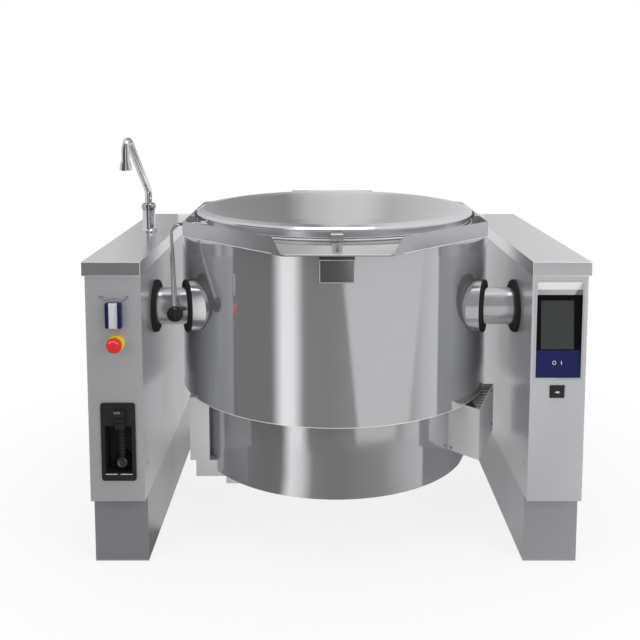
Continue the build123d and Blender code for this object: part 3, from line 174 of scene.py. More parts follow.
def studio_floor(width, near, far, least):
    """Pale floor that fades to white between two distances from the machine.

    least is the share of plain white close to the machine, so its shadow stays faint.
    """
    clear_selection()
    bpy.ops.mesh.primitive_plane_add(size=width, location=(0, 0, 0))
    floor = started("studio_floor")
    paint = new_material("studio_floor")
    tree = paint.node_tree
    shader, out = tree.nodes["Principled BSDF"], tree.nodes["Material Output"]
    shader.inputs["Base Color"].default_value = (0.9, 0.9, 0.9, 1)
    shader.inputs["Roughness"].default_value = 0.9
    shader.inputs["Specular IOR Level"].default_value = 0.1
    white = tree.nodes.new("ShaderNodeEmission")
    place = tree.nodes.new("ShaderNodeTexCoord")
    length = tree.nodes.new("ShaderNodeVectorMath")
    length.operation = "LENGTH"
    fade = tree.nodes.new("ShaderNodeMapRange")
    fade.interpolation_type = "SMOOTHSTEP"
    fade.inputs["From Min"].default_value = near
    fade.inputs["From Max"].default_value = far
    fade.inputs["To Min"].default_value = least
    share = tree.nodes.new("ShaderNodeMath")
    share.operation = "MULTIPLY"
    mix = tree.nodes.new("ShaderNodeMixShader")
    wire(
        tree, (place.outputs["Object"], length.inputs[0]),
        (length.outputs["Value"], fade.inputs["Value"]),
        (fade.outputs["Result"], share.inputs[0]), (seen_directly(tree), share.inputs[1]),
        (share.outputs[0], mix.inputs["Fac"]), (shader.outputs[0], mix.inputs[1]),
        (white.outputs[0], mix.inputs[2]), (mix.outputs[0], out.inputs["Surface"]))
    floor.data.materials.append(paint)


def studio_background(room_level):
    """White where it is seen, and an even soft light on everything else."""
    world = bpy.data.worlds.new("studio")
    scene.world = world
    world.use_nodes = True
    tree = world.node_tree
    tree.nodes.clear()
    out = tree.nodes.new("ShaderNodeOutputWorld")
    mix = tree.nodes.new("ShaderNodeMixShader")
    room = tree.nodes.new("ShaderNodeBackground")
    white = tree.nodes.new("ShaderNodeBackground")
    for glow, strength in ((room, room_level), (white, 1.0)):
        glow.inputs["Color"].default_value = (1, 1, 1, 1)
        glow.inputs["Strength"].default_value = strength
    wire(
        tree, (seen_directly(tree), mix.inputs["Fac"]), (room.outputs[0], mix.inputs[1]),
        (white.outputs[0], mix.inputs[2]), (mix.outputs[0], out.inputs["Surface"]))


def soft_lamp(name, place, aim, size, power):
    """A rectangular lamp, turned to face its aim."""
    data = bpy.data.lights.new(name, "AREA")
    data.shape = "RECTANGLE"
    data.size, data.size_y = size
    data.energy = power
    lamp = bpy.data.objects.new(name, data)
    scene.collection.objects.link(lamp)
    lamp.location = place
    lamp.rotation_euler = (Vector(aim) - Vector(place)).to_track_quat("-Z", "Y").to_euler()


studio_floor(width=40.0, near=0.8, far=1.8, least=0.82)
studio_background(room_level=0.6)
soft_lamp("lamp_above", (0.0, -0.6, 4.2), (0.0, 0.0, 0.5), (3.5, 3.0), 60.0)
soft_lamp("lamp_left", (-3.4, -3.2, 2.4), (0.0, 0.0, 0.7), (1.2, 2.6), 30.0)
soft_lamp("lamp_right", (3.4, -3.2, 2.4), (0.0, 0.0, 0.7), (1.8, 2.6), 50.0)

# %% [markdown]
# Round polished steel shows upright bands: each is a card or a dark gap that the
# photographer stands round the machine. Here a tall tub stands close round it, seen
# by shiny surfaces alone. Its grey changes with the direction from the middle, and
# with the height, so the bands can be placed by a short list of directions.

# %% Cards round the machine, seen only in reflections
# each row: direction in degrees from the camera's side, to the right, and its level
card_strips = [
    (-180, 0.54), (-174, 0.46), (-168, 0.20), (-150, 0.26), (-120, 0.66), (-71, 0.66),
    (-68.5, 0.11), (-34.5, 0.09), (-28.5, 1.0), (-22.5, 0.95), (-16.5, 0.15), (-3, 0.14),
    (12, 0.20), (44, 0.36), (50, 0.50), (72, 0.72), (110, 0.76), (140, 0.66), (164, 0.42),
    (171, 0.60), (180, 0.56),
]
# near the floor the same cards look softer, and brighten slowly to the right
floor_strips = [
    (-180, 0.30), (-96, 0.66), (-70, 0.66), (-66, 0.15), (-45, 0.10), (-35, 0.11),
    (-28.5, 0.95), (-21, 0.72), (-14, 0.17), (2, 0.13), (30, 0.22), (45, 0.42), (70, 0.62),
    (180, 0.30),
]
# the light window: its middle and half width in degrees, how many degrees that grows
# with each metre of height, its grey, its soft edge, and the heights it spans
window_middle, window_half, window_spread, window_level = 26.5, 11.1, 15.3, 0.55
window_edge = 1.5
window_fade, window_bottom, window_top = 0.11, 0.15, 0.84
# heights between which the floor's cards give way to the upright ones
floor_blend_low, floor_blend_high = 0.07, 0.14
# behind the machine, a pale glare lies low over the far edges of the worktops
glare_direction, glare_top, glare_full, glare_level = 140.0, 1.05, 0.97, 0.85


def card_material():
    """Grey by direction, and one light window that narrows towards the floor."""
    paint = new_material("studio_cards")
    tree = paint.node_tree
    tree.nodes.clear()
    place = tree.nodes.new("ShaderNodeTexCoord")
    turn = tree.nodes.new("ShaderNodeMapping")
    turn.inputs["Rotation"].default_value = (0, 0, pi / 2)
    around = tree.nodes.new("ShaderNodeTexGradient")
    around.gradient_type = "RADIAL"
    parts = tree.nodes.new("ShaderNodeSeparateXYZ")
    wire(
        tree, (place.outputs["Object"], turn.inputs["Vector"]),
        (turn.outputs[0], around.inputs["Vector"]), (place.outputs["Object"], parts.inputs[0]))
    fraction, height = around.outputs["Fac"], parts.outputs["Z"]

    def ramp(strips):
        """The grey of a list of strips, by direction."""
        node = tree.nodes.new("ShaderNodeValToRGB")
        stops = node.color_ramp.elements
        while len(stops) > 1:
            stops.remove(stops[-1])
        for n, (direction, level) in enumerate(strips):
            stop = stops[0] if n == 0 else stops.new(0.5 + direction / 360.0)
            stop.position = 0.5 + direction / 360.0
            stop.color = (level, level, level, 1)
        wire(tree, (fraction, node.inputs["Fac"]))
        return node.outputs["Color"]

    def soft_step(value, low, high):
        """0 at low and 1 at high, with a smooth change between."""
        node = tree.nodes.new("ShaderNodeMapRange")
        node.interpolation_type = "SMOOTHSTEP"
        node.inputs["From Min"].default_value = low
        node.inputs["From Max"].default_value = high
        wire(tree, (value, node.inputs["Value"]))
        return node.outputs["Result"]

    def blend(share, first, second):
        """A colour between the first and the second, which may be a plain grey."""
        node = tree.nodes.new("ShaderNodeMix")
        node.data_type = "RGBA"
        wire(tree, (share, node.inputs[0]), (first, node.inputs[6]))
        if isinstance(second, float):
            node.inputs[7].default_value = (second, second, second, 1)
        else:
            wire(tree, (second, node.inputs[7]))
        return node.outputs[2]

    direction = reckon(tree, "MULTIPLY", reckon(tree, "SUBTRACT", fraction, 0.5), 360.0)
    away = reckon(
        tree, "ABSOLUTE", reckon(tree, "SUBTRACT", direction, window_middle))
    half = reckon(tree, "MULTIPLY_ADD", height, window_spread, window_half)
    inside = soft_step(reckon(tree, "SUBTRACT", half, away), -window_edge, window_edge)
    above = soft_step(height, window_fade, window_bottom)
    below = reckon(tree, "LESS_THAN", height, window_top)
    inside = reckon(tree, "MULTIPLY", reckon(tree, "MULTIPLY", inside, above), below)
    behind = reckon(tree, "GREATER_THAN", reckon(tree, "ABSOLUTE", direction), glare_direction)
    glare = reckon(tree, "MULTIPLY", behind, soft_step(height, glare_top, glare_full))
    upright = blend(inside, ramp(card_strips), window_level)
    grey = blend(soft_step(height, floor_blend_low, floor_blend_high), ramp(floor_strips), upright)
    grey = blend(glare, grey, glare_level)
    glow = tree.nodes.new("ShaderNodeEmission")
    out = tree.nodes.new("ShaderNodeOutputMaterial")
    wire(tree, (grey, glow.inputs["Color"]), (glow.outputs[0], out.inputs["Surface"]))
    return paint


def studio_cards(radius, height, sides, lift):
    """A tub that stands just over the floor, open at its top."""
    clear_selection()
    bpy.ops.mesh.primitive_cylinder_add(
        vertices=sides, radius=radius, depth=height, end_fill_type="NGON",
        location=(0, 0, height / 2 + lift))
    tub = started("studio_cards")
    open_piece(tub)
    pick_faces(tub, lambda centre, normal: normal.z > 0.5)
    bpy.ops.mesh.delete(type="FACE")
    close_piece()
    tub.data.materials.append(card_material())
    tub.visible_camera = False
    tub.visible_diffuse = False
    tub.visible_shadow = False
    tub.visible_transmission = False
    print("cards stand", radius, "m from the middle")


studio_cards(radius=1.0, height=8.0, sides=128, lift=0.003)

# %% [markdown]
# Three effects serve many finishes, so each is a node group with named sockets.
# Brushed grain is long fine lines along one direction. Handling marks are the soft
# cloudy patches that hands and cloths leave. Moulded grain is the fine pebble of a
# plastic tool. Each group puts out only masks and heights, and the shader itself
# stays in the material, where an export can read it.

# %% Effects shared by several finishes
def effect(name, inputs, outputs):
    """An empty node group with named sockets."""
    group = bpy.data.node_groups.new(name, "ShaderNodeTree")
    for label, kind, value in inputs:
        socket = group.interface.new_socket(label, in_out="INPUT", socket_type=kind)
        socket.default_value = value
    for label in outputs:
        group.interface.new_socket(label, in_out="OUTPUT", socket_type="NodeSocketFloat")
    return group, group.nodes.new("NodeGroupInput"), group.nodes.new("NodeGroupOutput")


def noise(tree, scale, detail, vector, roughness=0.5):
    """A noise texture, whose scale is a number or another node's output."""
    node = tree.nodes.new("ShaderNodeTexNoise")
    node.inputs["Detail"].default_value = detail
    node.inputs["Roughness"].default_value = roughness
    if isinstance(scale, (int, float)):
        node.inputs["Scale"].default_value = scale
    else:
        wire(tree, (scale, node.inputs["Scale"]))
    wire(tree, (vector, node.inputs["Vector"]))
    return node.outputs["Fac"]


def brushed_effect():
    """Long fine lines, as a roughness and a height."""
    group, given, result = effect(
        "brushed_grain",
        [("Stretch", "NodeSocketVector", (4.0, 400.0, 400.0)),
         ("Roughness", "NodeSocketFloat", 0.3), ("Spread", "NodeSocketFloat", 0.1)],
        ["Roughness", "Height"])
    place = group.nodes.new("ShaderNodeTexCoord")
    stretch = group.nodes.new("ShaderNodeVectorMath")
    stretch.operation = "MULTIPLY"
    wire(
        group, (place.outputs["Object"], stretch.inputs[0]),
        (given.outputs["Stretch"], stretch.inputs[1]))
    lines = noise(group, 1.0, 4.0, stretch.outputs[0])
    cloud = noise(group, 5.0, 3.0, place.outputs["Object"])
    # two noises of about one half each, so their sum less one is centred on nothing
    centred = reckon(group, "SUBTRACT", reckon(group, "ADD", lines, cloud), 1.0)
    rough = reckon(
        group, "MULTIPLY_ADD", centred, given.outputs["Spread"], given.outputs["Roughness"])
    wire(group, (rough, result.inputs["Roughness"]), (lines, result.inputs["Height"]))
    return group


def marks_effect():
    """Cloudy patches where hands and cloths have been, from 0 to 1."""
    patch_start, patch_contrast, fine_scale = 0.45, 3.0, 9.0
    group, given, result = effect(
        "handling_marks",
        [("Scale", "NodeSocketFloat", 4.0), ("Amount", "NodeSocketFloat", 0.5)], ["Mark"])
    place = group.nodes.new("ShaderNodeTexCoord")
    cloud = noise(group, given.outputs["Scale"], 5.0, place.outputs["Object"], 0.6)
    fine = noise(
        group, reckon(group, "MULTIPLY", given.outputs["Scale"], fine_scale), 3.0,
        place.outputs["Object"])
    patch = reckon(
        group, "MULTIPLY", reckon(group, "SUBTRACT", cloud, patch_start), patch_contrast)
    node = group.nodes.new("ShaderNodeClamp")
    wire(group, (reckon(group, "MULTIPLY", patch, fine), node.inputs["Value"]))
    mark = reckon(group, "MULTIPLY", node.outputs[0], given.outputs["Amount"])
    wire(group, (mark, result.inputs["Mark"]))
    return group


def moulded_effect():
    """Fine pebbled surface of a moulded piece, as a height and a patchiness."""
    group, given, result = effect(
        "moulded_grain", [("Scale", "NodeSocketFloat", 900.0)], ["Height", "Patch"])
    place = group.nodes.new("ShaderNodeTexCoord")
    cells = group.nodes.new("ShaderNodeTexVoronoi")
    cells.feature = "SMOOTH_F1"
    wire(
        group, (given.outputs["Scale"], cells.inputs["Scale"]),
        (place.outputs["Object"], cells.inputs["Vector"]),
        (cells.outputs["Distance"], result.inputs["Height"]),
        (noise(group, 14.0, 4.0, place.outputs["Object"]), result.inputs["Patch"]))
    return group


brushed_grain = brushed_effect()
handling_marks = marks_effect()
moulded_grain = moulded_effect()
print("effects:", [g.name for g in bpy.data.node_groups])

# %% [markdown]
# The sheet metal is one recipe with different numbers: the colour, how rough it is,
# which way its grain runs and how much it has been handled. Folded panels are
# brushed, the drum and the lid are polished nearly to a mirror, and the tap is
# chrome plated, which is smoother and a little bluer.

# %% Metals
# lines of noise in each metre, along x, y and z: few of them where the grain runs
grain_along_x = (3.0, 260.0, 260.0)
grain_along_y = (260.0, 3.0, 260.0)
grain_along_z = (260.0, 260.0, 3.0)
no_direction = (60.0, 60.0, 60.0)
grain_height = 0.0003
mark_scale, mark_dull, mark_dark = 5.0, 0.12, 0.12


def use(tree, group, **values):
    """Place a node group and set its inputs by name."""
    node = tree.nodes.new("ShaderNodeGroup")
    node.node_tree = group
    for label, value in values.items():
        node.inputs[label].default_value = value
    return node


def shaded(tree, colour, mask, strength):
    """The colour, darkened where the mask is high."""
    mix = tree.nodes.new("ShaderNodeMix")
    mix.data_type = "RGBA"
    mix.inputs[6].default_value = (*colour, 1)
    mix.inputs[7].default_value = (*(c * (1 - strength) for c in colour), 1)
    wire(tree, (mask, mix.inputs[0]))
    return mix.outputs[2]


def metal(name, colour, roughness, spread, stretch, depth, marks, metallic=1.0):
    """A metal whose grain has a roughness, a spread of it, a direction and a depth.

    marks is how much it has been handled. Below 1, metallic makes the sheet look
    satin: part of it then scatters the light as a matt surface does.
    """
    made = new_material(name)
    tree = made.node_tree
    shader = tree.nodes["Principled BSDF"]
    shader.inputs["Metallic"].default_value = metallic
    grain = use(tree, brushed_grain, Stretch=stretch, Roughness=roughness, Spread=spread)
    hands = use(tree, handling_marks, Scale=mark_scale, Amount=marks)
    bump = tree.nodes.new("ShaderNodeBump")
    bump.inputs["Strength"].default_value = depth
    bump.inputs["Distance"].default_value = grain_height
    mark = hands.outputs["Mark"]
    rough = reckon(tree, "MULTIPLY_ADD", mark, mark_dull, grain.outputs["Roughness"])
    wire(
        tree, (shaded(tree, colour, mark, mark_dark), shader.inputs["Base Color"]),
        (rough, shader.inputs["Roughness"]), (grain.outputs["Height"], bump.inputs["Height"]),
        (bump.outputs[0], shader.inputs["Normal"]))
    return made


# the four satin sheets are one brushed steel in lit and shaded copies: the worktops painted
# lightest, the front panels a little darker, painted shade on the side walls and the deepest
# painted shade on the plinths
lit_satin_top = metal("lit_satin_top", (0.70, 0.705, 0.72), 0.20, 0.05, grain_along_y, 0.03, 0.3, 0.85)
shaded_satin_side = metal("shaded_satin_side", (0.52, 0.525, 0.54), 0.30, 0.08, grain_along_z, 0.04, 0.4, 0.6)
satin_front = metal(
    "satin_front", (0.66, 0.665, 0.68), 0.34, 0.06, grain_along_z, 0.05, 0.3, 0.6)
shaded_satin_plinth = metal(
    "shaded_satin_plinth", (0.42, 0.425, 0.44), 0.36, 0.08, grain_along_x, 0.05, 0.5, 0.6)
rim_steel = metal("rim_steel", (0.56, 0.565, 0.58), 0.24, 0.05, grain_along_z, 0.01, 0.2, 0.8)
lip_steel = metal("lip_steel", (0.74, 0.74, 0.75), 0.20, 0.04, grain_along_x, 0.01, 0.2, 0.7)
# near-white and partly matt: paints hems, rolls, beads and the plate frame as bright highlight
# lines
edge_highlight_steel = metal("edge_highlight_steel", (0.93, 0.935, 0.94), 0.30, 0.05, no_direction, 0.02, 0.2, 0.35)
drum_steel = metal("drum_steel", (0.76, 0.765, 0.78), 0.08, 0.03, grain_along_z, 0.01, 0.3, 0.86)
lid_steel = metal("lid_steel", (0.80, 0.805, 0.82), 0.12, 0.03, grain_along_y, 0.01, 0.3, 0.9)
casing_steel = metal(
    "casing_steel", (0.72, 0.725, 0.74), 0.10, 0.03, grain_along_z, 0.01, 0.3, 0.88)
duct_steel = metal("duct_steel", (0.84, 0.845, 0.85), 0.30, 0.06, grain_along_z, 0.03, 0.4, 0.5)
plate_steel = metal("plate_steel", (0.40, 0.41, 0.43), 0.30, 0.06, grain_along_x, 0.05, 0.3)
vessel_steel = metal("vessel_steel", (0.70, 0.70, 0.70), 0.28, 0.10, grain_along_z, 0.10, 0.6)
chrome = metal("chrome", (0.80, 0.81, 0.83), 0.05, 0.02, no_direction, 0.0, 0.3)
pane_steel = metal("pane_steel", (0.46, 0.465, 0.48), 0.16, 0.04, grain_along_x, 0.01, 0.3)
# a dark steel that paints the lip's shadow on the strip over the plate
lip_shadow_steel = metal("lip_shadow_steel", (0.20, 0.205, 0.22), 0.25, 0.04, grain_along_x, 0.01, 0.3)
chrome_dark = metal("chrome_dark", (0.50, 0.51, 0.53), 0.06, 0.02, no_direction, 0.0, 0.3)
tube_steel = metal("tube_steel", (0.70, 0.705, 0.72), 0.16, 0.05, grain_along_z, 0.02, 0.3, 0.9)
raw_steel = metal("raw_steel", (0.42, 0.43, 0.44), 0.48, 0.15, grain_along_x, 0.30, 0.9)
screw_steel = metal("screw_steel", (0.55, 0.56, 0.58), 0.30, 0.06, no_direction, 0.05, 0.5)
motor_metal = metal("motor_metal", (0.60, 0.61, 0.62), 0.50, 0.10, no_direction, 0.60, 0.7)
brass = metal("brass", (0.72, 0.54, 0.25), 0.28, 0.10, grain_along_z, 0.10, 0.7)
plug_metal = metal("plug_metal", (0.22, 0.22, 0.23), 0.30, 0.08, no_direction, 0.05, 0.4)
print("materials so far:", len(bpy.data.materials))

# %% [markdown]
# Plastics and rubbers share another recipe. The mould leaves a fine pebble on the
# matt ones, seen as a bump and as small changes in gloss. Painted castings and the
# glass wool use it as well, with a coarser pebble and more change in colour, and so
# do the prints and the black glass, where the pebble is hardly deep enough to see.

# %% Plastics, rubbers, paint and glass
finger_scale, finger_amount, finger_dull = 30.0, 0.6, 0.08


def moulded(name, colour, roughness, pebble, depth, patchy, gloss=0.25):
    """A moulded surface with pebbles in each metre, their depth and its patchiness."""
    made = new_material(name)
    tree = made.node_tree
    shader = tree.nodes["Principled BSDF"]
    shader.inputs["Specular IOR Level"].default_value = gloss
    grain = use(tree, moulded_grain, Scale=pebble)
    hands = use(tree, handling_marks, Scale=finger_scale, Amount=finger_amount)
    bump = tree.nodes.new("ShaderNodeBump")
    bump.inputs["Strength"].default_value = depth
    bump.inputs["Distance"].default_value = grain_height
    patch = grain.outputs["Patch"]
    rough = reckon(
        tree, "ADD", reckon(tree, "MULTIPLY", patch, patchy), roughness - patchy / 2)
    rough = reckon(tree, "MULTIPLY_ADD", hands.outputs["Mark"], finger_dull, rough)
    wire(
        tree, (shaded(tree, colour, patch, patchy), shader.inputs["Base Color"]),
        (rough, shader.inputs["Roughness"]), (grain.outputs["Height"], bump.inputs["Height"]),
        (bump.outputs[0], shader.inputs["Normal"]))
    return made


black_moulded = moulded("black_moulded", (0.022, 0.023, 0.025), 0.42, 900.0, 0.25, 0.12)
black_gloss = moulded("black_gloss", (0.012, 0.012, 0.013), 0.16, 300.0, 0.03, 0.05, 0.4)
black_rubber = moulded("black_rubber", (0.016, 0.016, 0.017), 0.62, 500.0, 0.30, 0.15)
white_rubber = moulded("white_rubber", (0.74, 0.74, 0.70), 0.55, 500.0, 0.20, 0.12)
navy_plastic = moulded("navy_plastic", (0.012, 0.017, 0.085), 0.28, 900.0, 0.08, 0.08, 0.2)
band_navy = moulded("band_navy", (0.010, 0.013, 0.085), 0.22, 600.0, 0.02, 0.05)
display_grey = moulded("display_grey", (0.045, 0.047, 0.048), 0.30, 600.0, 0.02, 0.06)
# the knob's real silver grip, and also the painted highlight on the probe pocket's edges
silver_grip_and_highlight = moulded("silver_grip_and_highlight", (0.56, 0.57, 0.60), 0.30, 900.0, 0.08, 0.08)
yellow_plastic = moulded("yellow_plastic", (0.80, 0.66, 0.02), 0.34, 700.0, 0.06, 0.08)
red_plastic = moulded("red_plastic", (0.72, 0.028, 0.028), 0.30, 700.0, 0.05, 0.06, 0.2)
grey_plastic = moulded("grey_plastic", (0.33, 0.34, 0.36), 0.45, 700.0, 0.20, 0.12)
painted_cast = moulded("painted_cast", (0.24, 0.25, 0.27), 0.50, 220.0, 0.60, 0.20)
glass_wool = moulded("glass_wool", (0.78, 0.68, 0.40), 0.95, 90.0, 1.00, 0.40)
white_print = moulded("white_print", (0.80, 0.80, 0.80), 0.45, 700.0, 0.03, 0.08)
dark_print = moulded("dark_print", (0.03, 0.03, 0.035), 0.45, 700.0, 0.03, 0.08)
screen_black = moulded("screen_black", (0.003, 0.003, 0.004), 0.12, 300.0, 0.01, 0.04, 0.1)
# pale sheet that paints the highlight on the bezel's upward face over the screen
painted_highlight_white = moulded("painted_highlight_white", (0.90, 0.90, 0.91), 0.30, 700.0, 0.02, 0.04, 0.4)
print("finishes:", len(bpy.data.materials))

# %% [markdown]
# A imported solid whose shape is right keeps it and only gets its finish, through its
# own material slots. One table says which finish goes on which solids.

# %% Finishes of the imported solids
finishes = {
    lit_satin_top: ["left_worktop", "right_worktop"],
    shaded_satin_side: ["left_inner_panel", "right_inner_panel", "left_outer_panel",
                 "right_outer_panel"],
    satin_front: ["left_front_panel", "right_front_panel"],
    shaded_satin_plinth: ["left_plinth", "right_plinth"],
    raw_steel: ["left_bearing_stand", "right_bearing_stand", "bearing_bolts", "steam_jacket",
                "heating_elements"],
    painted_cast: ["left_bearing", "right_bearing", "tilt_gearbox"],
    black_moulded: ["levelling_feet", "probe_bay", "temperature_probe", "usb_socket",
                    "usb_cover"],
    black_rubber: ["console_seals", "kettle_seals"],
    tube_steel: ["left_trunnion", "right_trunnion"],
    chrome: ["lid_handle", "tap_column", "tap_spout",
             "tap_nozzle", "screen_bezel"],
    motor_metal: ["tilt_motor"],
    vessel_steel: ["inner_vessel", "lid_liner", "hinge_bracket", "lid_hinge_arm"],
    glass_wool: ["insulation"],
    drum_steel: ["drum_casing"],
    casing_steel: ["lower_casing", "bottom_cover"],
    rim_steel: ["rim_collar", "rear_deck"],
    lip_steel: ["pouring_lip"],
    plate_steel: ["drum_front_plate"],
    brass: ["safety_valve", "water_valve"],
    duct_steel: ["valve_cover", "cable_duct"],
    lid_steel: ["lid_shell"],
    white_rubber: ["lid_gasket"],
    black_gloss: ["lid_handle_ball"],
    grey_plastic: ["cable_gland", "control_box", "control_switches", "display_module"],
    navy_plastic: ["tilt_knob"],
    yellow_plastic: ["emergency_stop_collar"],
    red_plastic: ["emergency_stop_button"],
    screen_black: ["screen_glass"],
}
for finish, nodes in finishes.items():
    for node in nodes:
        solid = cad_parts[node]
        solid.data.materials.clear()
        solid.data.materials.append(finish)
dressed = [node for nodes in finishes.values() for node in nodes]
print("dressed:", len(dressed), "left:", sorted(set(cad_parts) - set(dressed)))

# %% [markdown]
# More helpers make the small pieces. A block gets rounded edges. A traced line is
# one point that is extruded along a list of places: spun round an axis it becomes a
# turned piece, and extruded once more it becomes a strip, which then gets its
# thickness. A finished piece takes its finish and rides on the body that it moves
# with, so that it follows the joints.

# %% Helpers for making pieces
merge_distance = 0.00002
upward, outward = (0, 0, 1), (0, 1, 0)


def block(name, low, high, bevel, steps=3):
    """A block between two corners, with rounded edges."""
    clear_selection()
    centre = [(a + b) / 2 for a, b in zip(low, high)]
    size = [b - a for a, b in zip(low, high)]
    bpy.ops.mesh.primitive_cube_add(size=1.0, location=centre, scale=size)
    piece = started(name)
    if bevel:
        open_piece(piece, "EDGE")
        bpy.ops.mesh.select_all(action="SELECT")
        bpy.ops.mesh.bevel(offset=bevel, segments=steps, affect="EDGES")
        close_piece()
    return piece


def front_block(name, middle, half, depth, bevel, steps=3):
    """A block on a front: its middle and half size in x and z, and its two y."""
    (x, z), (half_x, half_z), (front, back) = middle, half, depth
    return block(
        name, (x - half_x, front, z - half_z), (x + half_x, back, z + half_z), bevel, steps)


def traced(name, points):
    """A line of edges through the points."""
    clear_selection()
    bpy.ops.mesh.primitive_plane_add(size=0.01, location=points[0])
    line = started(name)
    open_piece(line, "VERT")
    bpy.ops.mesh.select_all(action="SELECT")
    bpy.ops.mesh.merge(type="CENTER")
    bpy.ops.mesh.select_all(action="SELECT")
    for a, b in zip(points, points[1:]):
        step = [n - m for m, n in zip(a, b)]
        bpy.ops.mesh.extrude_region_move(TRANSFORM_OT_translate={"value": step})
    close_piece()
    return line


def spun(name, profile, centre, axis, steps=64):
    """A turned piece. Each point of the profile is a radius and a place on the axis."""
    points = [Vector(centre) + Vector((1, 0, 0)) * r + Vector(axis) * along
              for r, along in profile]
    piece = traced(name, points)
    open_piece(piece, "VERT")
    bpy.ops.mesh.select_all(action="SELECT")
    bpy.ops.mesh.spin(steps=steps, angle=2 * pi, center=centre, axis=axis)
    bpy.ops.mesh.select_all(action="SELECT")
    bpy.ops.mesh.remove_doubles(threshold=merge_distance)
    bpy.ops.mesh.normals_make_consistent(inside=False)
    close_piece()
    return piece


def strip(name, points, rise, thickness, bevel=0.0):
    """A traced line, raised into a strip and given its thickness."""
    piece = traced(name, points)
    open_piece(piece, "EDGE")
    bpy.ops.mesh.select_all(action="SELECT")
    bpy.ops.mesh.extrude_region_move(TRANSFORM_OT_translate={"value": rise})
    bpy.ops.mesh.select_all(action="SELECT")
    bpy.ops.mesh.remove_doubles(threshold=merge_distance)
    bpy.ops.mesh.normals_make_consistent(inside=False)
    close_piece()
    bpy.ops.object.modifier_add(type="SOLIDIFY")
    thick = piece.modifiers[-1]
    thick.thickness, thick.offset = thickness, 0.0
    bpy.ops.object.modifier_apply(modifier=thick.name)
    open_piece(piece, "EDGE")
    bpy.ops.mesh.select_all(action="SELECT")
    if bevel:
        bpy.ops.mesh.bevel(offset=bevel, segments=2, affect="EDGES")
        bpy.ops.mesh.select_all(action="SELECT")
    bpy.ops.mesh.normals_make_consistent(inside=False)
    close_piece()
    return piece


def turned_copy(piece, name, move=(0, 0, 0), turn=0.0, axis="Z", about=(0, 0, 0)):
    """A copy with its own mesh, turned about a point by degrees and then moved."""
    take(piece)
    bpy.ops.object.duplicate()
    copy = bpy.context.object
    copy.name = copy.data.name = name
    open_piece(copy)
    bpy.ops.mesh.select_all(action="SELECT")
    if turn:
        bpy.ops.transform.rotate(
            value=radians(turn), orient_axis=axis, orient_type="GLOBAL", center_override=about)
    bpy.ops.transform.translate(value=move)
    close_piece()
    return copy


def joined(name, pieces):
    """One piece made of several that share a finish and a body."""
    clear_selection()
    for piece in pieces:
        piece.select_set(True)
    bpy.context.view_layer.objects.active = pieces[0]
    bpy.ops.object.join()
    whole = bpy.context.object
    whole.name = whole.data.name = name
    return whole


def placed(piece, finish, body, smooth=35):
    """Give a piece its finish and the body that it rides on."""
    take(piece)
    bpy.ops.object.shade_smooth_by_angle(angle=radians(smooth))
    piece.data.materials.clear()
    piece.data.materials.append(finish)
    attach(piece, body)
    return piece


print("piece helpers ready")

# %% [markdown]
# The tilt control is a spring-back rotary knob: a navy body with a silver grip
# across it. It could be one carved block, but two blocks keep two finishes apart.
# The grip's front face is made smaller, which slopes its sides, and then the edges
# round that face are bevelled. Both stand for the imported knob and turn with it.

# %% Tilt knob
panel_y = -0.437
knob_x, knob_z = -0.626, 0.749
knob_front, grip_front = -0.455, -0.469
grip_face_share = (0.62, 1.0, 0.84)

knob_body = front_block(
    "knob_body", (knob_x, knob_z), (0.0235, 0.0365), (knob_front, panel_y - 0.0005), 0.0035)
knob_grip = front_block(
    "knob_grip", (knob_x, knob_z), (0.0125, 0.0372), (grip_front, knob_front + 0.001), 0.0)
open_piece(knob_grip)
pick_faces(knob_grip, lambda centre, normal: normal.y < -0.9)
bpy.ops.transform.resize(value=grip_face_share)
pick_edges(knob_grip, lambda middle, along: middle.y < knob_front - 0.005)
bpy.ops.mesh.bevel(offset=0.0009, segments=2, affect="EDGES")
close_piece()
placed(knob_body, navy_plastic, "tilt_control")
placed(knob_grip, silver_grip_and_highlight, "tilt_control")
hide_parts("tilt_knob")
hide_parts("tilt_knob")
print("knob grip:", [round(v, 4) for v in knob_grip.dimensions])

# %% [markdown]
# The signs over the knob say what it does: a dashed arc with two arrowheads, an
# upright pot on the side that brings the kettle back and a tilted pot on the side
# that pours. They are printed, so each is only a few tenths of a millimetre thick.
# One dash is modelled, and its copies are turned about the middle of the arc.

# %% Signs of the tilt knob
arc_radius, arc_z = 0.064, knob_z - 0.0175
print_y, print_thickness = panel_y - 0.0002, 0.0004
print_depth = (print_y - print_thickness / 2, print_y + print_thickness)
dash_angle = 7.0
pot_place, pot_half_top, pot_half_bottom, pot_half_height = 0.036, 0.0052, 0.0036, 0.003

dash = front_block(
    "tilt_dash", (knob_x, arc_z + arc_radius), (0.0019, 0.0006), print_depth, 0.0002, 1)
dashes = [
    turned_copy(
        dash, f"tilt_dash_{n}", turn=n * dash_angle, axis="Y", about=(knob_x, print_y, arc_z))
    for n in (-3, -2, -1, 1, 2, 3)]


def arrow(name, side):
    """The outline of an arrowhead at one end of the arc."""
    tip = Vector((knob_x + side * 0.0315, print_y, arc_z + 0.0535))
    wings = [Vector((-side * 0.0065, 0, 0.0035)), Vector((-side * 0.0035, 0, 0.0075))]
    outline = [tip, *(tip + wing for wing in wings), tip]
    return strip(name, outline, (0, -print_thickness, 0), 0.0011)


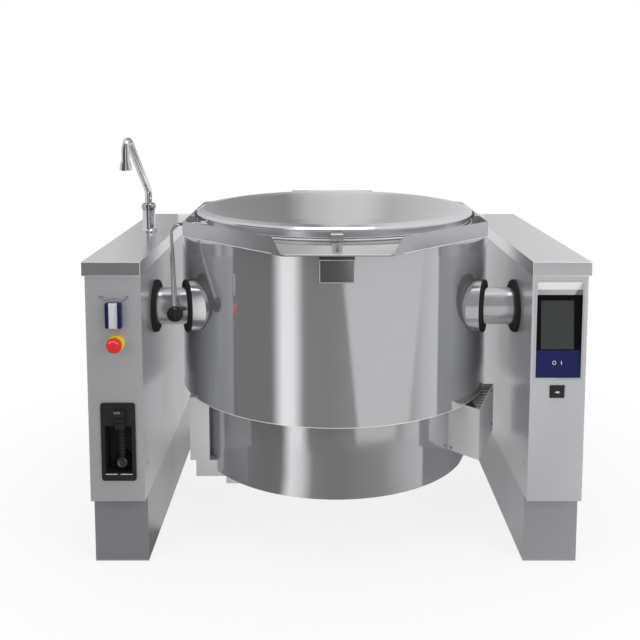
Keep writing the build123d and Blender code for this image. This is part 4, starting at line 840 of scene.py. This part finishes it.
def pot(name, side, height, lean):
    """A small kettle seen from its side: a cup with a line over it."""
    x, z = knob_x + side * pot_place, arc_z + height
    top, bottom = z + pot_half_height, z - pot_half_height
    cup = strip(
        name, [(x - pot_half_top, print_y, top), (x - pot_half_bottom, print_y, bottom),
               (x + pot_half_bottom, print_y, bottom), (x + pot_half_top, print_y, top)],
        (0, -print_thickness, 0), 0.0014)
    cover = front_block(
        name + "_cover", (x, z + 0.0039), (0.0058, 0.0007), print_depth, 0.0002, 1)
    both = joined(name, [cup, cover])
    open_piece(both)
    bpy.ops.mesh.select_all(action="SELECT")
    bpy.ops.transform.rotate(
        value=radians(lean), orient_axis="Y", orient_type="GLOBAL",
        center_override=(x, print_y, z))
    close_piece()
    return both


signs = [dash, *dashes, arrow("arrow_back", -1), arrow("arrow_pour", 1),
         pot("pot_upright", -1, 0.0665, 0.0), pot("pot_tilted", 1, 0.0645, 40.0)]
placed(joined("tilt_signs", signs), dark_print, "stand")
print("signs:", len(signs))

# %% [markdown]
# The emergency stop is a red mushroom over a yellow collar, so that it stands out
# and a flat hand finds it. It is a turned piece: half of its outline is traced and
# spun round the axis. Light marks near its edge show which way it is released.

# %% Emergency stop
stop_middle = Vector((-0.622, 0.0, 0.668))
mark_spacing = 24.0
stop_head = spun(
    "emergency_stop_head",
    [(0.0, -0.407), (0.006, -0.407), (0.006, -0.447), (0.011, -0.447), (0.011, -0.4605),
     (0.0190, -0.4612), (0.0212, -0.4630), (0.0220, -0.4660), (0.0217, -0.4695),
     (0.0202, -0.4725), (0.0175, -0.4750), (0.0135, -0.4767), (0.0080, -0.4777),
     (0.0, -0.4780)], stop_middle, outward)
placed(stop_head, red_plastic, "stop_button")
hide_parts("emergency_stop_button")
mark = front_block(
    "stop_mark", (stop_middle.x, stop_middle.z + 0.01425), (0.0017, 0.00075),
    (-0.4772, -0.4752), 0.0003, 1)
marks = [mark] + [
    turned_copy(mark, f"stop_mark_{n}", turn=n * mark_spacing, axis="Y", about=stop_middle)
    for n in (-2, -1, 1, 2)]
placed(joined("stop_marks", marks), white_print, "stop_button")
print("stop head:", len(stop_head.data.polygons), "faces, marks:", len(marks))

# %% [markdown]
# The probe rests in a black bay. Its clip has two moulded lines, the pocket's lower
# edge catches the light on both sides of a drain gap, painted there as two silver
# highlight strips, and the probe ends in a metal nose with a raised rim. The lines and
# edges are thin blocks, and the nose is spun.

# %% Probe bay details
bay_x = -0.6225
clip_depth, edge_depth = (-0.4504, -0.4496), (-0.4418, -0.4405)
pocket_edge_z, pocket_edge_half = 0.28265, (0.01675, 0.00115)
pocket_edge_place = 0.02125

for n, z in enumerate((0.4655, 0.4695)):
    line = front_block(f"clip_line_{n}", (bay_x, z), (0.0095, 0.0006), clip_depth, 0.0002, 1)
    placed(line, grey_plastic, "stand")
# silver strips on the pocket's lower edge: painted highlights
for side, name in ((-1, "pocket_edge_highlight_left"), (1, "pocket_edge_highlight_right")):
    edge = front_block(
        name, (bay_x + side * pocket_edge_place, pocket_edge_z), pocket_edge_half, edge_depth,
        0.0003, 2)
    placed(edge, silver_grip_and_highlight, "stand")
probe_nose = spun(
    "probe_nose",
    [(0.0, -0.4335), (0.0140, -0.4335), (0.0145, -0.4342), (0.0145, -0.4362),
     (0.0135, -0.4370), (0.0115, -0.4370), (0.0105, -0.4360), (0.0095, -0.4355),
     (0.0030, -0.4355), (0.0022, -0.4362), (0.0, -0.4364)], (-0.615, 0.0, 0.3145), outward)
placed(probe_nose, plug_metal, "probe")
print("probe nose:", round(probe_nose.dimensions.x, 4), "m wide")

# %% [markdown]
# The touch screen leans back a little in its bezel, so a standing cook reads it
# well. A dark display lies under black glass, and a printed navy band below it
# carries the ON and OFF signs. The strips follow the slope of the glass. The bezel's
# face over the glass slopes out and up, and the light on it is painted as a pale sheet.

# %% Screen, its band and its signs
glass_low, glass_high, lean_low, lean_rise = 0.5665, 0.801, -0.436, 0.020
glass_proud, band_corner = 0.0003, 0.0040
sign_z, sign_off_x, sign_on_x = 0.6085, 0.6180, 0.6384
ring_half_width, ring_half_height, ring_points = 0.0046, 0.0052, 24


def glass_y(z):
    return lean_low + (z - glass_low) / (glass_high - glass_low) * lean_rise


def on_glass(name, x0, x1, z0, z1, corner):
    """A thin strip on the sloping glass, with rounded corners."""
    y0 = glass_y(z0) - glass_proud
    piece = strip(
        name, [(x0, y0, z0), (x1, y0, z0)], (0, glass_y(z1) - glass_y(z0), z1 - z0), 0.0004)
    open_piece(piece, "EDGE")
    pick_edges(piece, lambda middle, along: abs(along.y) > 0.8)
    bpy.ops.mesh.bevel(offset=corner, segments=4, affect="EDGES")
    close_piece()
    return piece


display = on_glass("display_window", 0.5800, 0.6735, 0.6470, 0.7850, 0.0008)
placed(display, display_grey, "stand")
band = on_glass("navy_band", 0.5646, 0.6914, 0.5668, 0.6440, band_corner)
placed(band, band_navy, "stand")
ring = [
    (sign_off_x + ring_half_width * cos(2 * pi * n / ring_points), glass_y(sign_z) - 0.0006,
     sign_z + ring_half_height * sin(2 * pi * n / ring_points))
    for n in range(ring_points + 1)]
sign_off = strip("sign_off", ring, (0, -print_thickness, 0), 0.0014)
placed(sign_off, white_print, "stand")
sign_on = front_block(
    "sign_on", (sign_on_x, sign_z), (0.0009, 0.0056),
    (glass_y(sign_z) - 0.0010, glass_y(sign_z) - 0.0002), 0.0003, 1)
placed(sign_on, white_print, "stand")
# painted highlight on the bezel's upward face over the glass
bezel_top_highlight = strip(
    "screen_top_highlight", [(0.5645, -0.4155, 0.8015), (0.6915, -0.4155, 0.8015)],
    (0, -0.0215, 0.0405), 0.0006)
placed(bezel_top_highlight, painted_highlight_white, "stand")
print("screen pieces placed, band", [round(v, 3) for v in band.dimensions])

# %% [markdown]
# The flap over the data socket has a small plug on it, which says that a lead goes
# in behind. A body, two prongs and a lead are enough to read it at this size. It
# rides on the flap, so it swings up with it.

# %% Plug sign on the data flap
plug_x, plug_z, plug_half = 0.627, 0.5255, 0.0035
plug_depth = (-0.4428, -0.4421)
plug = front_block("plug_body", (plug_x, plug_z), (plug_half, 0.0026), plug_depth, 0.0003, 1)
prong = front_block(
    "plug_prong", (plug_x + plug_half + 0.00175, plug_z + 0.0012), (0.00175, 0.0004), plug_depth,
    0.0002, 1)
prong_low = turned_copy(prong, "plug_prong_low", move=(0, 0, -0.0024))
lead = front_block(
    "plug_lead", (plug_x - plug_half - 0.0025, plug_z), (0.0025, 0.0006), plug_depth, 0.0002, 1)
plug_sign = joined("plug_sign", [plug, prong, prong_low, lead])
placed(plug_sign, white_print, "usb_flap")
print("plug sign:", round(plug_sign.dimensions.x, 4), "m wide")

# %% [markdown]
# Folded sheet shows its edges as thin bright lines, because every fold and hem has a
# small radius that finds a lamp. Here those lines are painted highlights: thin strips in
# a near-white, partly matt steel. The worktops have one at the top and one at the bottom
# of their front fold and one at the corner next to the kettle. The rim collar has a hem
# round its lower edge, and the lip ends in a bead.

# %% Hems of the worktops, the rim and the lip
fold_depth = (-0.4414, -0.4402)
fold_inner, fold_outer = 0.5502, 0.7148
fold_z = {"top": 0.8990, "bottom": 0.8606}
fold_middle, fold_half = (fold_inner + fold_outer) / 2, (fold_outer - fold_inner) / 2

for side, side_name in ((-1, "left"), (1, "right")):
    for place, z in fold_z.items():
        hem = front_block(
            f"{side_name}_fold_{place}", (side * fold_middle, z), (fold_half, 0.0008),
            fold_depth, 0.0005, 2)
        placed(hem, edge_highlight_steel, "stand")
    corner = front_block(
        f"{side_name}_fold_corner", (side * fold_inner, 0.8799), (0.0006, 0.0199), fold_depth,
        0.0004, 2)
    placed(corner, edge_highlight_steel, "stand")

rim_hem_z, rim_hem_height = 0.9374, 0.0020
rim_hem_corners = [(0.1794, -0.5162), (0.4624, -0.2332), (0.4624, -0.1060)]
for side, name in ((-1, "rim_hem_left"), (1, "rim_hem_right")):
    path = [(side * x, y, rim_hem_z) for x, y in rim_hem_corners]
    hem = strip(name, path, (0, 0, rim_hem_height), 0.0014, 0.0004)
    placed(hem, edge_highlight_steel, "kettle")
lip_bead = strip(
    "lip_bead", [(-0.1415, -0.5480, 0.9396), (0.1415, -0.5480, 0.9396)], (0, 0, 0.0018),
    0.0012, 0.0004)
placed(lip_bead, edge_highlight_steel, "kettle")

# %% [markdown]
# A framed plate under the lip covers the joint of the casing. Its frame, painted
# near-white as a highlight, is one closed strip round a darker pane, and a dark strip
# over it is the painted shadow of the lip. A raised strip casts the fine line of shadow
# that a painted line wouldn't.

# %% Plate under the lip
plate_front = -0.4902
plate_depth = (plate_front - 0.0004, plate_front + 0.0004)
frame_half, frame_bottom, frame_top = 0.0475, 0.8520, 0.9150

frame_path = [
    (x, plate_front, z)
    for x, z in ((-frame_half, frame_bottom), (frame_half, frame_bottom),
                 (frame_half, frame_top), (-frame_half, frame_top),
                 (-frame_half, frame_bottom))]
plate_frame = strip("plate_frame", frame_path, (0, -0.0010, 0), 0.0022)
placed(plate_frame, edge_highlight_steel, "kettle")
plate_pane = front_block(
    "plate_pane", (0, (frame_bottom + frame_top) / 2), (0.0462, 0.0301), plate_depth, 0.0003, 1)
placed(plate_pane, pane_steel, "kettle")
# dark strip over the frame: painted shadow of the lip
plate_lip_shadow = front_block("plate_lip_shadow", (0, 0.92595), (0.0488, 0.00955), plate_depth, 0.0003, 1)
placed(plate_lip_shadow, lip_shadow_steel, "kettle")
print("plate frame:", [round(v, 3) for v in plate_frame.dimensions])

# %% [markdown]
# The casings are wraps of sheet. A lapped edge and rolled bottom edges catch the
# light as lines, which are painted highlights in the near-white edge steel. Each roll is
# one small outline, spun round the middle of the kettle in steps small enough to look round.

# %% Lapped and rolled edges of the casings
kettle_y, roll_steps = 0.010, 160
kettle_middle = (0, kettle_y, 0)
lap_y, lap_radius = -0.177, 0.4385
lap_x = sqrt(lap_radius ** 2 - (lap_y - kettle_y) ** 2)

for side, name in ((-1, "lap_edge_left"), (1, "lap_edge_right")):
    lap = block(
        name, (side * lap_x - 0.0012, lap_y - 0.0014, 0.2040),
        (side * lap_x + 0.0012, lap_y + 0.0006, 0.4350), 0.0005, 2)
    placed(lap, edge_highlight_steel, "kettle")

rolls = {
    "bottom_roll": [(0.4362, 0.2020), (0.4378, 0.2012), (0.4392, 0.2018), (0.4398, 0.2030),
                    (0.4392, 0.2042), (0.4378, 0.2048), (0.4362, 0.2040)],
    "casing_roll": [(0.4950, 0.4372), (0.4966, 0.4362), (0.4976, 0.4368), (0.4978, 0.4376),
                    (0.4972, 0.4384), (0.4950, 0.4384)],
}
for name, outline in rolls.items():
    roll = spun(name, [*outline, outline[0]], kettle_middle, upward, roll_steps)
    placed(roll, edge_highlight_steel, "kettle")
    print(name, round(roll.dimensions.x, 3), "m across")

# %% [markdown]
# The tap's column ends in a rounded gland nut that grips the swivel arm, and the
# mouth has an aerator ring. Both are turned, so both are spun. The nut stays with
# the column and the ring swivels with the arm.

# %% Gland nut and aerator ring of the tap
tap_x, column_y, mouth_y = -0.633, 0.112, -0.221
gland_nut = spun(
    "gland_nut",
    [(0.0124, 0.9985), (0.0165, 0.9985), (0.0210, 0.9955), (0.0238, 0.9905), (0.0246, 0.9850),
     (0.0238, 0.9795), (0.0212, 0.9750), (0.0212, 0.9730), (0.0124, 0.9730),
     (0.0124, 0.9985)], (tap_x, column_y, 0), upward)
placed(gland_nut, chrome_dark, "stand")
aerator = spun(
    "aerator_ring",
    [(0.0150, 1.1385), (0.0176, 1.1385), (0.0182, 1.1400), (0.0182, 1.1475), (0.0176, 1.1490),
     (0.0164, 1.1490), (0.0150, 1.1385)], (tap_x, mouth_y, 0), upward)
placed(aerator, chrome, "tap_arm")
print("gland nut:", round(gland_nut.dimensions.x, 4), "m across")

# %% [markdown]
# Small pan head screws hold the guard over the safety valve, the inner walls and the
# rear panels. One screw is turned as a pattern, and each place gets its own copy,
# turned to face outwards. The pattern itself is deleted at the end.

# %% Screws of the guard, the walls and the rear panels
screw_steps = 24
screw = spun(
    "screw_pattern",
    [(0.0, -0.0022), (0.0022, -0.0021), (0.0038, -0.0014), (0.0043, -0.0004), (0.0043, 0.0006),
     (0.0, 0.0006)], (0, 0, 0), outward, screw_steps)
guard_start, guard_corner, guard_end = (0.317, -0.230), (0.427, -0.340), (0.515, -0.108)
guard_front_turn, guard_side_turn = -45.0, 69.2
wall_face, wall_screw_y, wall_screw_z = 0.5492, -0.390, 0.295
rear_face = 0.5093


def along_guard(a, b, distance, z):
    """A place on one of the guard's faces, at a distance from its first corner."""
    run = Vector((b[0] - a[0], b[1] - a[1], 0)).normalized()
    return Vector((a[0], a[1], 0)) + run * distance + Vector((0, 0, z))


def screws(group, places, finish, body):
    """A copy of the pattern at each place and turn."""
    for n, (place, turn) in enumerate(places):
        copy = turned_copy(screw, f"{group}_screw_{n}", move=place, turn=turn, axis="Z")
        placed(copy, finish, body)
    print(group, "screws:", len(places))


screws("guard", [
    (along_guard(guard_start, guard_corner, 0.055, 0.2895), guard_front_turn),
    (along_guard(guard_start, guard_corner, 0.052, 0.4120), guard_front_turn),
    (along_guard(guard_corner, guard_end, 0.207, 0.4260), guard_side_turn),
    (along_guard(guard_corner, guard_end, 0.222, 0.3110), guard_side_turn),
], plug_metal, "kettle")
screws("wall", [
    ((side * wall_face, wall_screw_y, wall_screw_z), side * -90.0) for side in (-1, 1)
], screw_steel, "stand")
screws("rear", [
    ((side * x, rear_face, z), 180.0)
    for side in (-1, 1) for x in (0.572, 0.688) for z in (0.235, 0.835)
], screw_steel, "stand")
bpy.data.objects.remove(screw)

# %% [markdown]
# The lid's edge is rolled outwards, which stiffens the thin sheet. From the front
# the roll is one bright line over the dark gap between the lid and the rim, a painted
# highlight in the near-white edge steel.

# %% Rolled edge of the lid
lid_roll = spun(
    "lid_roll",
    [(0.4470, 0.9600), (0.4496, 0.9594), (0.4508, 0.9606), (0.4512, 0.9620), (0.4508, 0.9634),
     (0.4496, 0.9644), (0.4470, 0.9640), (0.4470, 0.9600)], kettle_middle, upward, roll_steps)
placed(lid_roll, edge_highlight_steel, "lid")
print("lid roll:", round(lid_roll.dimensions.x, 3), "m across")
